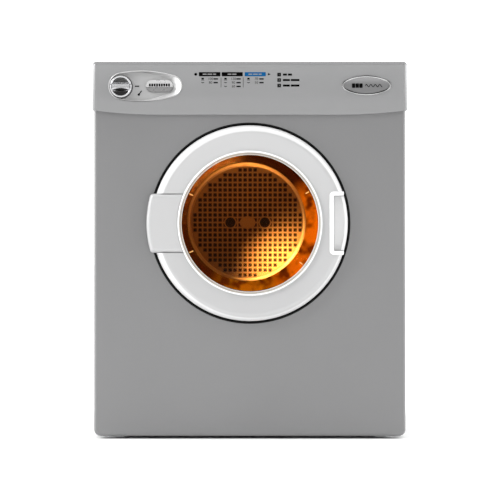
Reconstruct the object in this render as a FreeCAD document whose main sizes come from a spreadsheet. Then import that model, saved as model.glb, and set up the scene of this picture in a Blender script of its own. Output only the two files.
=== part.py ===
"""Front-loading vented clothes dryer, modelled as a parametric document.

Frame: +Z up, +X to the user's right, the front faces -Y, and the origin is on the floor under the middle
of the machine. Millimetres. Round pieces of the door and drum share one axis along Y at height door_z.
"""
import FreeCAD, Part
import math
import os
import re

import Sketcher

doc = FreeCAD.newDocument("clothes_dryer")

# Driving dimensions ---------------------------------------------------------------------------------
SIZES = {
    # cabinet
    "cab_width": 588.5, "cab_top": 712, "skirt_gap": 5, "front_face": 254, "rear_face": 256,
    "skin": 1, "corner_round": 13, "edge_round": 6, "front_return": 22, "front_top": 636,
    # control panel
    "fascia_width": 595, "fascia_low": 611.5, "fascia_low_end": 620.5, "fascia_face": 263,
    "fascia_wall": 3, "fascia_back": 236, "fascia_flat": 170,
    # door, measured from its own axis
    "door_z": 407, "hole_radius": 189.8, "ring_radius": 184.4, "ring_crest": 276, "ring_back": 247,
    "ring_wall": 3, "window_radius": 128.5, "bezel_radius": 136.2, "bowl_floor_radius": 113.5,
    "bowl_floor": 214, "bowl_x": -6.6, "bowl_z": 3.1, "hinge_x": 180, "hinge_y": 266, "cover_radius": 194.6,
    "cover_half": 55.5,
    "throat_radius": 150, "recess_floor": 241.4,
    # handle pocket in the door ring
    "grip_left": 157, "grip_half": 52, "grip_rim": 7.5, "grip_depth": 12,
    # drum
    "drum_radius": 280, "drum_wall": 1, "drum_front": 196, "drum_back": 196, "drum_mouth": 158,
    "filter_radius": 124, "grid_radius": 116, "grid_pitch": 10.5, "grid_bar": 3.4,
    "finger_hole": 10.7, "finger_offset": 36.2, "filter_seat": 5,
    # drive
    "motor_x": 190, "motor_z": 95, "belt_plane": -30, "belt_width": 9, "belt_thick": 2.4,
    "belt_gap": 0.4, "drum_to_motor": 27, "shaft_radius": 6, "idler_radius": 18,
    # controls
    "knob_x": -242.8, "knob_z": 664, "knob_radius": 20.4, "dish_depth": 7.5, "skirt_radius": 22.2, "button_x": -170.2,
    "button_z": 665.4, "button_length": 51, "button_height": 22.4, "badge_x": 219.7, "badge_z": 666.5,
    "badge_width": 91.4, "badge_height": 36.6, "badge_rim": 2.6,
    # rear and feet
    "outlet_x": 60, "outlet_z": 72, "outlet_radius": 50, "cover_rear": 280, "foot_x": 250,
    "foot_y": 210, "foot_radius": 20, "foot_height": 8, "stud_radius": 5,
}
sheet = doc.addObject("Spreadsheet::Sheet", "Sizes")
for row, (alias, number) in enumerate(SIZES.items(), start=1):
    sheet.set(f"A{row}", alias)
    sheet.set(f"B{row}", str(number))
    sheet.setAlias(f"B{row}", alias)
doc.recompute()

PARTS = []          # the objects that are written out, one per sub-part


# Helpers ----------------------------------------------------------------------------------------------
def bound(text):
    """The expression with the sheet's name put before each alias."""
    return re.sub(r"[a-z]\w*", lambda m: f"Sizes.{m[0]}" if m[0] in SIZES else m[0], str(text))


def value(text):
    """What an expression of aliases comes to, in millimetres."""
    return float(sheet.evalExpression(bound(text)))


def hold(obj, **properties):
    """Binds properties to expressions; a double underscore in a name stands for a dot."""
    for name, text in properties.items():
        obj.setExpression(name.replace("__", "."), bound(text))
    return obj


def keep(obj, label):
    """Names an object as a finished sub-part."""
    obj.Label = label
    PARTS.append(obj)
    return obj


def place(obj, x="0", y="0", z="0"):
    return hold(obj, Placement__Base__x=x, Placement__Base__y=y, Placement__Base__z=z)


def body(label, x="0", y="0", z="0"):
    """An empty PartDesign body at a place, kept as a sub-part."""
    return keep(place(doc.addObject("PartDesign::Body", label), x, y, z), label)


def sketch(owner, plane, offset="0"):
    """A sketch on an origin plane of the body. Local axes: XY is x,y; XZ is x,z facing -Y; YZ is y,z."""
    made = owner.newObject("Sketcher::SketchObject", "outline")
    made.AttachmentSupport = [(f, "") for f in owner.Origin.OriginFeatures if f.Role == plane + "_Plane"]
    made.MapMode = "FlatFace"
    return hold(made, AttachmentOffset__Base__z=offset)


def hold_point(made, geometry, end, x, y):
    """Fixes one end of a piece of geometry at two expressions, measured from the sketch's origin."""
    for kind, text in (("DistanceX", x), ("DistanceY", y)):
        number = value(text)
        if abs(number) < 1e-9:
            axis = -2 if kind == "DistanceX" else -1
            made.addConstraint(Sketcher.Constraint("PointOnObject", geometry, end, axis))
        elif number > 0:
            index = made.addConstraint(Sketcher.Constraint(kind, -1, 1, geometry, end, number))
            made.setExpression(f"Constraints[{index}]", bound(text))
        else:
            index = made.addConstraint(Sketcher.Constraint(kind, geometry, end, -1, 1, -number))
            made.setExpression(f"Constraints[{index}]", bound(f"-({text})"))


def polygon(made, corners):
    """A closed outline of straight lines through (x, y) expressions."""
    points = [FreeCAD.Vector(value(x), value(y), 0) for x, y in corners]
    first = len(made.Geometry)
    count = len(points)
    for i, point in enumerate(points):
        made.addGeometry(Part.LineSegment(point, points[(i + 1) % count]), False)
    for i, (x, y) in enumerate(corners):
        before = first + (i - 1) % count
        made.addConstraint(Sketcher.Constraint("Coincident", before, 2, first + i, 1))
        hold_point(made, first + i, 1, x, y)
    return made


def rectangle(made, left, right, low, high):
    return polygon(made, [(left, low), (right, low), (right, high), (left, high)])


def circle(made, radius, x="0", y="0"):
    centre = FreeCAD.Vector(value(x), value(y), 0)
    index = made.addGeometry(Part.Circle(centre, FreeCAD.Vector(0, 0, 1), value(radius)), False)
    hold_point(made, index, 3, x, y)
    ring = made.addConstraint(Sketcher.Constraint("Radius", index, value(radius)))
    made.setExpression(f"Constraints[{ring}]", bound(radius))
    return made


def chain(made, pieces):
    """A closed outline of lines and arcs given in order, each end joined to the next start."""
    first = len(made.Geometry)
    for piece in pieces:
        made.addGeometry(piece, False)
    count = len(pieces)
    for i in range(count):
        ends = [(k, end, made.getPoint(first + k, end)) for k in (i, (i + 1) % count) for end in (1, 2)]
        pairs = [(a[2].distanceToPoint(b[2]), a, b) for a in ends[:2] for b in ends[2:]]
        near = min(pairs, key=lambda pair: pair[0])
        made.addConstraint(Sketcher.Constraint("Coincident", first + near[1][0], near[1][1],
                                               first + near[2][0], near[2][1]))
    return made


def rounded_outline(made, corners):
    """A closed outline through (x, y, radius) corners, each rounded by a tangent arc where it has a radius."""
    points = [FreeCAD.Vector(value(c[0]), value(c[1]), 0) for c in corners]
    radii = [value(c[2]) if len(c) > 2 else 0 for c in corners]
    count = len(points)
    starts, ends, middles = [], [], []
    for i, (point, radius) in enumerate(zip(points, radii)):
        back = (points[i - 1] - point).normalize()
        ahead = (points[(i + 1) % count] - point).normalize()
        half = back.getAngle(ahead) / 2
        reach = radius / math.tan(half)
        starts.append(point + back * reach)
        ends.append(point + ahead * reach)
        inward = (back + ahead).normalize()
        middles.append(point + inward * (radius / math.sin(half) - radius))
    pieces = []
    for i in range(count):
        if radii[i]:
            pieces.append(Part.Arc(starts[i], middles[i], ends[i]))
        pieces.append(Part.LineSegment(ends[i], starts[(i + 1) % count]))
    return chain(made, pieces)


def arc_loop(made, arcs):
    """A closed outline of tangent arcs, each (centre x, centre y, radius, start angle, end angle)."""
    across = FreeCAD.Vector(0, 0, 1)
    return chain(made, [Part.ArcOfCircle(Part.Circle(FreeCAD.Vector(x, y, 0), across, radius), start, end)
                        for x, y, radius, start, end in arcs])


def feature(owner, kind, profile, **settings):
    made = owner.newObject("PartDesign::" + kind, kind)
    made.Profile = profile
    for name, setting in settings.items():
        setattr(made, name, setting)
    return made


def pad(owner, profile, length, **settings):
    return hold(feature(owner, "Pad", profile, **settings), Length=length)


def pocket(owner, profile, length=None, **settings):
    """A cut of a length into the solid, or right through both ways when no length is given."""
    if length is None:
        return feature(owner, "Pocket", profile, Type="ThroughAll", SideType="Symmetric", **settings)
    return hold(feature(owner, "Pocket", profile, **settings), Length=length)


def turned(owner, corners, cut=False):
    """A section of (radius, depth) expressions turned about the body's own Y axis; a third is a rounding."""
    rounded = any(len(corner) > 2 for corner in corners)
    outline = (rounded_outline if rounded else polygon)(sketch(owner, "XY"), corners)
    kind = "Groove" if cut else "Revolution"
    return feature(owner, kind, outline, ReferenceAxis=(outline, ["V_Axis"]), Angle=360)


def edges_of(made, test):
    """Names of the feature's edges that pass a test."""
    doc.recompute()
    return [f"Edge{i}" for i, edge in enumerate(made.Shape.Edges, start=1) if test(edge)]


def soften(owner, base, radius, test, kind="Fillet"):
    """Rounds, or chamfers, the edges of a feature that pass a test."""
    names = edges_of(base, test)
    if not names:
        raise ValueError(f"{owner.Label}: no edge to soften")
    made = owner.newObject("PartDesign::" + kind, kind)
    made.Base = (base, names)
    return hold(made, **{"Radius" if kind == "Fillet" else "Size": radius})


def along(axis, shortest=0.5):
    """A test for straight edges along X, Y or Z."""
    def test(edge):
        if edge.Curve.TypeId != "Part::GeomLine" or edge.Length < shortest:
            return False
        step = edge.Vertexes[-1].Point - edge.Vertexes[0].Point
        return abs(abs(getattr(step, axis)) - edge.Length) < 1e-4
    return test


def box(label, x, y, z, length, width, height):
    """A plain box primitive with its low corner at x, y, z."""
    made = place(doc.addObject("Part::Box", label), x, y, z)
    return hold(made, Length=length, Width=width, Height=height)


def cylinder(label, radius, height, x="0", y="0", z="0", axis="z"):
    """A plain cylinder primitive that starts at x, y, z and runs along +X, +Y or +Z."""
    made = doc.addObject("Part::Cylinder", label)
    turn = {"x": (FreeCAD.Vector(0, 1, 0), 90), "y": (FreeCAD.Vector(1, 0, 0), -90),
            "z": (FreeCAD.Vector(0, 0, 1), 0)}
    made.Placement = FreeCAD.Placement(FreeCAD.Vector(), FreeCAD.Rotation(*turn[axis]))
    place(made, x, y, z)
    return hold(made, Radius=radius, Height=height)


def fused(label, *shapes):
    made = doc.addObject("Part::MultiFuse", label)
    made.Shapes = list(shapes)
    made.Refine = True
    return made


def less(label, base, *tools):
    """The base with the tools cut away."""
    tool = tools[0] if len(tools) == 1 else fused(label + "_tools", *tools)
    made = doc.addObject("Part::Cut", label)
    made.Base, made.Tool = base, tool
    return made


# Cabinet ------------------------------------------------------------------------------------------------
def front_panel():
    """Pressed steel front with rounded edges, a rolled door hole and a hidden notch for the hinge cover."""
    made = body("front_panel")
    face = sketch(made, "XZ", "front_face - front_return")
    rectangle(face, "-cab_width/2", "cab_width/2", "skirt_gap", "front_top")
    tray = pad(made, face, "front_return")
    corners = soften(made, tray, "corner_round", lambda e: along("y")(e) and e.BoundBox.ZMax < 20)
    rim = soften(made, corners, "edge_round", lambda e: e.BoundBox.YMax < -value("front_face") + 0.01
                 and e.BoundBox.ZMin < 600)
    doc.recompute()
    back = [f"Face{i}" for i, f in enumerate(rim.Shape.Faces, start=1)
            if f.BoundBox.YMin > -value("front_face") + 21.9 or f.BoundBox.ZMin > value("front_top - 0.1")]
    shell = made.newObject("PartDesign::Thickness", "Thickness")
    shell.Base = (rim, back)
    hold(shell, Value="skin")
    roll = circle(circle(sketch(made, "XZ", "front_face - 8"), "hole_radius + skin", "0", "door_z"),
                  "hole_radius", "0", "door_z")
    pad(made, roll, "8")
    pocket(made, circle(sketch(made, "XZ", "front_face"), "hole_radius", "0", "door_z"))
    pocket(made, sector(sketch(made, "XZ", "front_face"), "hole_radius + 4.5", "hole_radius - 10", "54", "door_z"),
           "9")


def side_panel(label, side):
    """Folded steel side with flanges turned in at the front and rear."""
    made = body(label)
    outline = sketch(made, "XY", "skirt_gap + 13")
    outer, inner, lip = (f"{side}*(cab_width/2 - {inset})" for inset in ("0", "skin", "16"))
    front, rear = "-front_face + front_return + 0.5", "rear_face - skin - 0.2"
    polygon(outline, [(outer, front), (outer, rear), (lip, rear), (lip, f"{rear} - skin"),
                      (inner, f"{rear} - skin"), (inner, f"{front} + skin"), (lip, f"{front} + skin"),
                      (lip, front)])
    pad(made, outline, "cab_top - 14 - skirt_gap - 13")


def top_panel():
    """Worktop lid pressed from sheet, its rounded rim turned down over the sides."""
    made = body("top_panel")
    outline = sketch(made, "XY", "cab_top - 13")
    rectangle(outline, "-cab_width/2", "cab_width/2", "-fascia_back + 1", "rear_face")
    slab = pad(made, outline, "13")
    corners = soften(made, slab, "8", lambda e: along("z")(e) and e.BoundBox.YMin > 0)
    rim = soften(made, corners, "4", lambda e: e.BoundBox.ZMin > value("cab_top") - 0.01 and e.BoundBox.YMax > -200)
    doc.recompute()
    under = [f"Face{i}" for i, f in enumerate(rim.Shape.Faces,
                                              start=1) if f.BoundBox.ZMax < value("cab_top - 12.9")]
    shell = made.newObject("PartDesign::Thickness", "Thickness")
    shell.Base = (rim, under)
    hold(shell, Value="skin")


def rear_panel():
    """Flat rear sheet: bearing hole, hot air slots, outlet hole and two banks of intake louvres."""
    made = body("rear_panel")
    sheet_face = sketch(made, "XZ", "-rear_face")
    rectangle(sheet_face, "-cab_width/2 + 0.5", "cab_width/2 - 0.5", "skirt_gap", "cab_top - 13.5")
    slab = pad(made, sheet_face, "skin")
    pocket(made, circle(sketch(made, "XZ", "-rear_face"), "26", "0", "door_z"))
    pocket(made, circle(sketch(made, "XZ", "-rear_face"), "outlet_radius + 0.3", "outlet_x", "outlet_z"))
    slot = rectangle(sketch(made, "XZ", "-rear_face"), "-16", "16", "door_z + 150", "door_z + 190")
    first = pocket(made, slot)
    axis = made.newObject("PartDesign::Line", "drum_axis")
    axis.Placement = FreeCAD.Placement(FreeCAD.Vector(0, 0, value("door_z")),
                                       FreeCAD.Rotation(FreeCAD.Vector(1, 0, 0), 90))
    ring = made.newObject("PartDesign::PolarPattern", "PolarPattern")
    ring.Originals = [first]
    ring.Axis = (axis, [""])
    ring.Angle, ring.Occurrences = 360, 8
    made.Tip = ring
    louvre = rectangle(sketch(made, "XZ", "-rear_face"), "-250", "-170", "60", "66")
    bank = pocket(made, louvre)
    rows = made.newObject("PartDesign::LinearPattern", "LinearPattern")
    rows.Originals = [bank]
    rows.Direction = (louvre, ["V_Axis"])
    rows.Length, rows.Occurrences = 70, 6
    made.Tip = rows


def base_pan():
    """Shallow steel tray that carries the motor, the fan housing and the feet."""
    made = body("base_pan")
    half, front, rear = "(cab_width/2 - skin - 0.5)", "-front_face + 24", "rear_face - skin - 2"
    floor = rectangle(sketch(made, "XY", "14"), f"-{half}", half, front, rear)
    pad(made, floor, "24")
    hollow = rectangle(sketch(made, "XY", "38"), f"-{half} + 1.5", f"{half} - 1.5", f"{front} + 1.5",
                       f"{rear} - 1.5")
    pocket(made, hollow, "22.5")
    for x in (-1, 1):
        for y in (-1, 1):
            spot = (f"{x}*foot_x", f"{y}*foot_y")
            pad(made, circle(sketch(made, "XY", "15"), "11", *spot), "20")
            pocket(made, circle(sketch(made, "XY", "15"), "stud_radius + 0.4", *spot))
    gap = circle(sketch(made, "XZ", "-rear_face"), "outlet_radius + 4", "outlet_x", "outlet_z")
    pocket(made, gap, "8", Reversed=True)


def feet():
    """Four levelling feet: a broad disc on a threaded stud."""
    names = {(-1, -1): "foot_front_left", (1, -1): "foot_front_right", (-1, 1): "foot_rear_left",
             (1, 1): "foot_rear_right"}
    for (x, y), label in names.items():
        made = body(label, f"{x}*foot_x", f"{y}*foot_y")
        disc = pad(made, circle(sketch(made, "XY"), "foot_radius"), "foot_height")
        pad(made, circle(sketch(made, "XY", "foot_height - 0.5"), "stud_radius"), "34")
        soften(made, made.Tip, "1.5", lambda e: abs(e.BoundBox.XLength - 2 * value("foot_radius")) < 0.1, "Chamfer")


# Control panel ------------------------------------------------------------------------------------------
def egg_arcs(left, left_radius, right, right_radius, long_radius):
    """Four tangent arcs round two end circles, closed by long arcs above and below."""
    (x1, y1), (x2, y2) = left, right
    span = math.hypot(x2 - x1, y2 - y1)
    tilt = math.atan2(y2 - y1, x2 - x1)
    near, far = long_radius - left_radius, long_radius - right_radius
    ahead = (near ** 2 - far ** 2 + span ** 2) / (2 * span)
    aside = math.sqrt(near ** 2 - ahead ** 2)

    def centre(sign):
        return (x1 + ahead * math.cos(tilt) + sign * aside * math.sin(tilt),
                y1 + ahead * math.sin(tilt) - sign * aside * math.cos(tilt))

    def heading(start, end):
        return math.atan2(end[1] - start[1], end[0] - start[0])
    above, below = centre(1), centre(-1)
    top_left, top_right = heading(above, left), heading(above, right)
    low_left, low_right = heading(below, left), heading(below, right)
    turn = 2 * math.pi
    return [
        (*left, left_radius, top_left, low_left % turn),
        (*below, long_radius, low_left % turn, low_right % turn),
        (*right, right_radius, low_right % turn - turn, top_right),
        (*above, long_radius, top_right, top_left),
    ]


def dish_arcs(kind, inset=0.0):
    """The teardrop outlines of the control dish: its rim, or its floor, drawn in by an inset."""
    x, z = value("knob_x"), value("knob_z")
    if kind == "rim":
        return egg_arcs((x + 2.5, z + 1), 27.5 - inset, (x + 95, z + 1.5), 22.3 - inset, 220 - inset)
    return egg_arcs((x + 2.5, z + 0.5), 25.7 - inset, (x + 87, z + 1.5), 12.5 - inset, 160 - inset)


def control_panel():
    """Hollow moulded fascia with a bowed face, an arched lower edge and openings for dish and badge."""
    made = body("control_panel")
    section = sketch(made, "YZ")
    face, low, top, back = (value(n) for n in ("-fascia_face", "fascia_low", "cab_top", "-fascia_back"))
    nose = [(back, low), (back, top), (face + 11, top), (face + 2.2, top - 9), (face, 662), (face + 3.5, low)]
    points = [FreeCAD.Vector(y, z, 0) for y, z in nose]
    bulge = Part.Arc(points[3], points[4], points[5])
    shoulder = Part.Arc(points[2], FreeCAD.Vector(face + 4.6, top - 2.6, 0), points[3])
    chain(section, [Part.LineSegment(points[5], points[0]), Part.LineSegment(points[0], points[1]),
                    Part.LineSegment(points[1], points[2]), shoulder, bulge])
    pad(made, section, "fascia_width", SideType="Symmetric")
    under = sketch(made, "XZ", "fascia_face + 5")
    half, flat = value("fascia_width/2 + 5"), value("fascia_flat")
    rise = value("fascia_low_end - fascia_low")
    shapes = [Part.LineSegment(FreeCAD.Vector(-flat, low, 0), FreeCAD.Vector(flat, low, 0)),
              Part.Arc(FreeCAD.Vector(flat, low, 0), FreeCAD.Vector((flat + half) / 2, low + rise / 4, 0),
                       FreeCAD.Vector(half, low + rise, 0)),
              Part.LineSegment(FreeCAD.Vector(half, low + rise, 0), FreeCAD.Vector(half, low - 10, 0)),
              Part.LineSegment(FreeCAD.Vector(half, low - 10, 0), FreeCAD.Vector(-half, low - 10, 0)),
              Part.LineSegment(FreeCAD.Vector(-half, low - 10, 0), FreeCAD.Vector(-half, low + rise, 0)),
              Part.Arc(FreeCAD.Vector(-half, low + rise, 0), FreeCAD.Vector(-(flat + half) / 2, low + rise / 4, 0),
                       FreeCAD.Vector(-flat, low, 0))]
    chain(under, shapes)
    trimmed = pocket(made, under)
    corner = soften(made, trimmed, "8", lambda e: e.BoundBox.XLength < 0.01 and e.BoundBox.ZMax > low + 20
                    and e.BoundBox.YMin < back - 5)
    doc.recompute()
    open_faces = [f"Face{i}" for i, f in enumerate(corner.Shape.Faces, start=1) if f.BoundBox.YMin > back - 0.01]
    shell = made.newObject("PartDesign::Thickness", "Thickness")
    shell.Base = (corner, open_faces)
    hold(shell, Value="fascia_wall")
    pocket(made, arc_loop(sketch(made, "XZ", "fascia_face + 2"), dish_arcs("rim", 1.5)), "14")
    lap = rectangle(sketch(made, "YZ"), "-front_face - 0.2", "-fascia_back + 2", "fascia_low - 5", "front_top + 1")
    pocket(made, lap, "cab_width + 1", SideType="Symmetric")


def control_dish():
    """Teardrop dish round the knob and the option button: a sloping wall down to a flat floor."""
    made = body("control_dish")
    rim = arc_loop(sketch(made, "XZ", "fascia_face - dish_depth - 3.6"), dish_arcs("rim", 1.8))
    block = pad(made, rim, "dish_depth + 4.6")
    soften(made, block, "1", lambda e: e.BoundBox.YMax < -value("fascia_face + 0.99"))
    top = arc_loop(sketch(made, "XZ", "fascia_face + 1.3"), dish_arcs("rim", 3.4))
    floor = arc_loop(sketch(made, "XZ", "fascia_face - dish_depth"), dish_arcs("floor"))
    feature(made, "SubtractiveLoft", top, Sections=[floor])
    pocket(made, circle(sketch(made, "XZ", "fascia_face"), "shaft_radius - 1.6", "knob_x", "knob_z"))
    opening = sketch(made, "XZ", "fascia_face")
    pill(opening, "button_x", "button_z", "button_length + 0.8", "button_height + 0.8")
    pocket(made, opening)


def sector(made, outer, inner, half, centre="0"):
    """The band between two radii on the hinge side, no taller than a half height either way."""
    big, small, tall, z = value(outer), value(inner), value(half), value(centre)
    far, near = -math.sqrt(big ** 2 - tall ** 2), -math.sqrt(small ** 2 - tall ** 2)
    corners = [FreeCAD.Vector(x, z + t, 0) for x, t in ((far, tall), (far, -tall), (near, -tall), (near, tall))]
    return chain(made, [Part.Arc(corners[0], FreeCAD.Vector(-big, z, 0), corners[1]),
                        Part.LineSegment(corners[1], corners[2]),
                        Part.Arc(corners[3], FreeCAD.Vector(-small, z, 0), corners[2]),
                        Part.LineSegment(corners[3], corners[0])])


def pill(made, x, z, length, height):
    """A stadium outline centred at x, z."""
    cx, cz, r = value(x), value(z), value(height) / 2
    reach = value(length) / 2 - r
    ends = [FreeCAD.Vector(cx - reach, cz - r, 0), FreeCAD.Vector(cx + reach, cz - r, 0),
            FreeCAD.Vector(cx + reach, cz + r, 0), FreeCAD.Vector(cx - reach, cz + r, 0)]
    return chain(made, [Part.LineSegment(ends[0], ends[1]),
                        Part.Arc(ends[1], FreeCAD.Vector(cx + reach + r, cz, 0), ends[2]),
                        Part.LineSegment(ends[2], ends[3]),
                        Part.Arc(ends[3], FreeCAD.Vector(cx - reach - r, cz, 0), ends[0])])


def timer_knob():
    """Round knob: a dark skirt, and a bright cap with a raised rim, a sunk face and a sloping grip bar."""
    skirt = body("knob_skirt", "knob_x", "-fascia_face + dish_depth", "knob_z")
    turned(skirt, [("3.2", "-0.6"), ("skirt_radius", "-0.6"), ("skirt_radius", "-3.6", "1.2"),
                   ("knob_radius - 2", "-4.4"), ("3.2", "-4.4")])
    made = body("timer_knob", "knob_x", "-fascia_face + dish_depth", "knob_z")
    rim = "knob_radius - 3.2"
    turned(made, [("0", "-4.5"), ("knob_radius - 0.6", "-4.5"), ("knob_radius", "-6"),
                  ("knob_radius", "-15.5", "1.5"),
                  (rim, "-15.5", "1.5"), (f"{rim} - 0.6", "-9.5", "1"), ("0", "-9.5")])
    bar = polygon(sketch(made, "YZ"), [("-9", "-8.9"), ("-10.8", "-8.6"), ("-16.2", "-3.7"), ("-16.8", "-2.9"),
                                       ("-16.8", "2.9"), ("-16.2", "3.7"), ("-10.8", "8.6"), ("-9", "8.9")])
    pad(made, bar, "2*knob_radius - 8", SideType="Symmetric")
    pocket(made, circle(sketch(made, "XZ"), "3.2"), "12", Reversed=True)


def option_button():
    """Pill-shaped push button with a crease along its middle."""
    made = body("option_button")
    outline = pill(sketch(made, "XZ", "fascia_face - 14"), "button_x", "button_z", "button_length", "button_height")
    pad(made, outline, "14.6")
    crest, crease = "-fascia_face - 0.6", "button_z - 3.5"
    facets = polygon(sketch(made, "YZ", "button_x"), [
        (crest, crease), (f"{crest} + 1.8", "button_z + 12"), (f"{crest} - 3", "button_z + 12"),
        (f"{crest} - 3", "button_z - 12"), (f"{crest} + 3", "button_z - 12")])
    pocket(made, facets)


def badge():
    """Oval nameplate in a raised rim."""
    half, rise, x, z = (value(n) for n in ("badge_width/2", "badge_height/2", "badge_x", "badge_z"))

    def oval(made, inset):
        end = 9.5
        long_radius = ((half - end) ** 2 + rise ** 2 - end ** 2) / (2 * (rise - end))
        left, right = (x - half + end, z), (x + half - end, z)
        return arc_loop(made, egg_arcs(left, end - inset, right, end - inset, long_radius - inset))
    width = value("badge_rim")
    plate = body("badge_plate")
    pad(plate, oval(sketch(plate, "XZ", "fascia_face + 0.1"), width + 0.1), "0.9")
    rim = body("badge_rim")
    pad(rim, oval(oval(sketch(rim, "XZ", "fascia_face + 0.1"), 0), width), "1.9")


def timer_and_switch():
    """Clockwork timer and option switch behind the control panel."""
    case = box("case", "knob_x - 28", "-fascia_face + 22", "knob_z - 30", "56", "34", "56")
    keep(less("timer_body", case, cylinder("timer_bore", "3.4", "60", "knob_x", "-fascia_face + 10", "knob_z",
                                           "y")), "timer_body")
    keep(cylinder("timer_shaft", "3", "40", "knob_x", "-fascia_face - 1", "knob_z", "y"), "timer_shaft")
    keep(box("option_switch", "button_x - 14", "-fascia_face + 18.5", "button_z - 9", "28", "22", "18"),
         "option_switch")


# Door ---------------------------------------------------------------------------------------------------
def grip_outline(made, left, radius, half):
    """The finger pocket's outline: straight on the left, curved with the door's rim on the right."""
    x, big, tall = value(left), value(radius), value(half)
    far = math.sqrt(big ** 2 - tall ** 2)
    corners = [FreeCAD.Vector(*p, 0) for p in ((x, -tall), (far, -tall), (far, tall), (x, tall))]
    return chain(made, [Part.LineSegment(corners[0], corners[1]),
                        Part.Arc(corners[1], FreeCAD.Vector(big, 0, 0), corners[2]),
                        Part.LineSegment(corners[2], corners[3]), Part.LineSegment(corners[3], corners[0])])


def door_ring():
    """Outer door moulding: a dished ring with a rolled rim, a finger pocket and a seat for the hinge cover."""
    made = body("door_ring", z="door_z")
    crest, back, wall = "-ring_crest", "-ring_back", "ring_wall"
    turned(made, [("ring_radius", back), ("ring_radius", crest, "14"), ("bezel_radius + 0.15", f"{crest} + 3"),
                  ("bezel_radius + 0.15", "-262"), ("bezel_radius + 3.4", "-262"),
                  ("bezel_radius + 3.4", f"{crest} + 6"), (f"ring_radius - {wall}", f"{crest} + {wall}", "11"),
                  (f"ring_radius - {wall}", back)])
    pocket(made, sector(sketch(made, "XZ", "ring_crest + 2"), "cover_radius", "window_radius", "cover_half + 0.2"),
           "60")
    cup = sketch(made, "XZ", f"ring_crest - grip_depth - {wall}")
    pad(made, grip_outline(cup, f"grip_left - {wall}", "ring_radius - 1.5", f"grip_half + {wall}"), "grip_depth")
    hollow = grip_outline(sketch(made, "XZ", "ring_crest + 2"), "grip_left", "ring_radius - 6.4", "grip_half")
    pocket(made, hollow, "grip_depth + 2")
    groove = rounded_outline(sketch(made, "XZ", "ring_crest"), [
        ("grip_left + 18", "grip_half"), ("grip_left", "grip_half", "3"), ("grip_left", "-grip_half", "3"),
        ("grip_left + 18", "-grip_half"), ("grip_left + 18", "-grip_half + 1.5"),
        ("grip_left + 1.5", "-grip_half + 1.5", "1.5"), ("grip_left + 1.5", "grip_half - 1.5", "1.5"),
        ("grip_left + 18", "grip_half - 1.5")])
    pocket(made, groove, "grip_depth + 1.6")
    pocket(made, frame_outline(sketch(made, "XZ", "ring_crest + 4"), 0.1), "6.2")


def frame_outline(made, gap=0.0):
    """The outline of the frame round the finger pocket, open to the rim, grown by a gap."""
    left, inner, right = f"grip_left - grip_rim - {gap}", f"grip_left + 0.2 + {gap}", "grip_left + 19"
    tall, low = f"grip_half + grip_rim + {gap}", f"grip_half - 0.2 - {gap}"
    return rounded_outline(made, [(left, f"-({tall})", "8"), (right, f"-({tall})"), (right, f"-({low})"),
                                  (inner, f"-({low})", "2.6"), (inner, low, "2.6"), (right, low), (right, tall),
                                  (left, tall, "8")])


def handle_frame():
    """Raised frame let into the ring round the finger pocket."""
    made = body("handle_frame", z="door_z")
    frame = pad(made, frame_outline(sketch(made, "XZ", "ring_crest - 2.1")), "4.3")
    soften(made, frame, "1.8", lambda e: e.BoundBox.YMax < -value("ring_crest + 2.19")
           and e.BoundBox.XMax < value("grip_left + 18.9"))


def bowl_cone(made, kind, grow, stop="bowl_floor", start="262.2"):
    """A slanted cone between the flange circle and the off-centre floor circle, grown by a distance."""
    wide = circle(sketch(made, "XZ", start), f"window_radius + 2.4 + {grow}")
    narrow = circle(sketch(made, "XZ", stop), f"bowl_floor_radius + {grow}", "bowl_x", "bowl_z")
    return feature(made, kind, wide, Sections=[narrow])


def door_glazing():
    """Amber bowl window with an off-centre floor, held by its flange, and the bright bezel in front of it."""
    bowl = body("window_bowl", z="door_z")
    pad(bowl, circle(sketch(bowl, "XZ", "262"), "bezel_radius - 0.4"), "3")
    outer = bowl_cone(bowl, "AdditiveLoft", 0)
    soften(bowl, outer, "9", lambda e: e.BoundBox.YMin > -value("bowl_floor + 0.01"))
    mouth = circle(sketch(bowl, "XZ", "265.5"), "window_radius - 0.8")
    floor = circle(sketch(bowl, "XZ", "bowl_floor + 3"), "bowl_floor_radius - 2.8", "bowl_x", "bowl_z")
    hollow = feature(bowl, "SubtractiveLoft", mouth, Sections=[floor])
    soften(bowl, hollow, "6", lambda e: abs(e.BoundBox.YMax + value("bowl_floor + 3")) < 0.01
           and abs(e.BoundBox.YMin + value("bowl_floor + 3")) < 0.01)
    bezel = body("window_bezel", z="door_z")
    turned(bezel, [("bezel_radius", "-265.2"), ("bezel_radius", "-277", "1.2"),
                   ("bezel_radius - 1.6", "-278.6", "1"),
                   ("bezel_radius - 3.4", "-278.4", "1.2"), ("window_radius", "-270.5"),
                   ("window_radius", "-265.2")])


def door_liner():
    """Inner door pan: closes the ring from behind, carries the glazing, and sleeves the bowl."""
    made = body("door_liner", z="door_z")
    turned(made, [("window_radius + 2.4 + 0.9", "-261.7"), ("window_radius + 7", "-261.7"),
                  ("window_radius + 7", "-247.4"),
                  ("ring_radius - 3.6", "-247.4"), ("ring_radius - 3.6", "-244.6"), ("147", "-244.6"),
                  ("144", "-226"), ("141", "-226"), ("143.5", "-244.6"), ("window_radius + 2.4 + 0.9", "-244.6")])
    bowl_cone(made, "AdditiveLoft", 2.4, "bowl_floor + 0.5", "261.7")
    bowl_cone(made, "SubtractiveLoft", 0.6, "bowl_floor - 2")
    well = rectangle(sketch(made, "XZ", "ring_back + 3"), "-ring_radius - 2", "-150", "-cover_half", "cover_half")
    pocket(made, well, "6")
    seal = body("door_seal", z="door_z")
    turned(seal, [("150.5", "-244.4"), ("155.5", "-244.4"), ("154.5", "-241.8"), ("151.5", "-241.8")])


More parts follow.
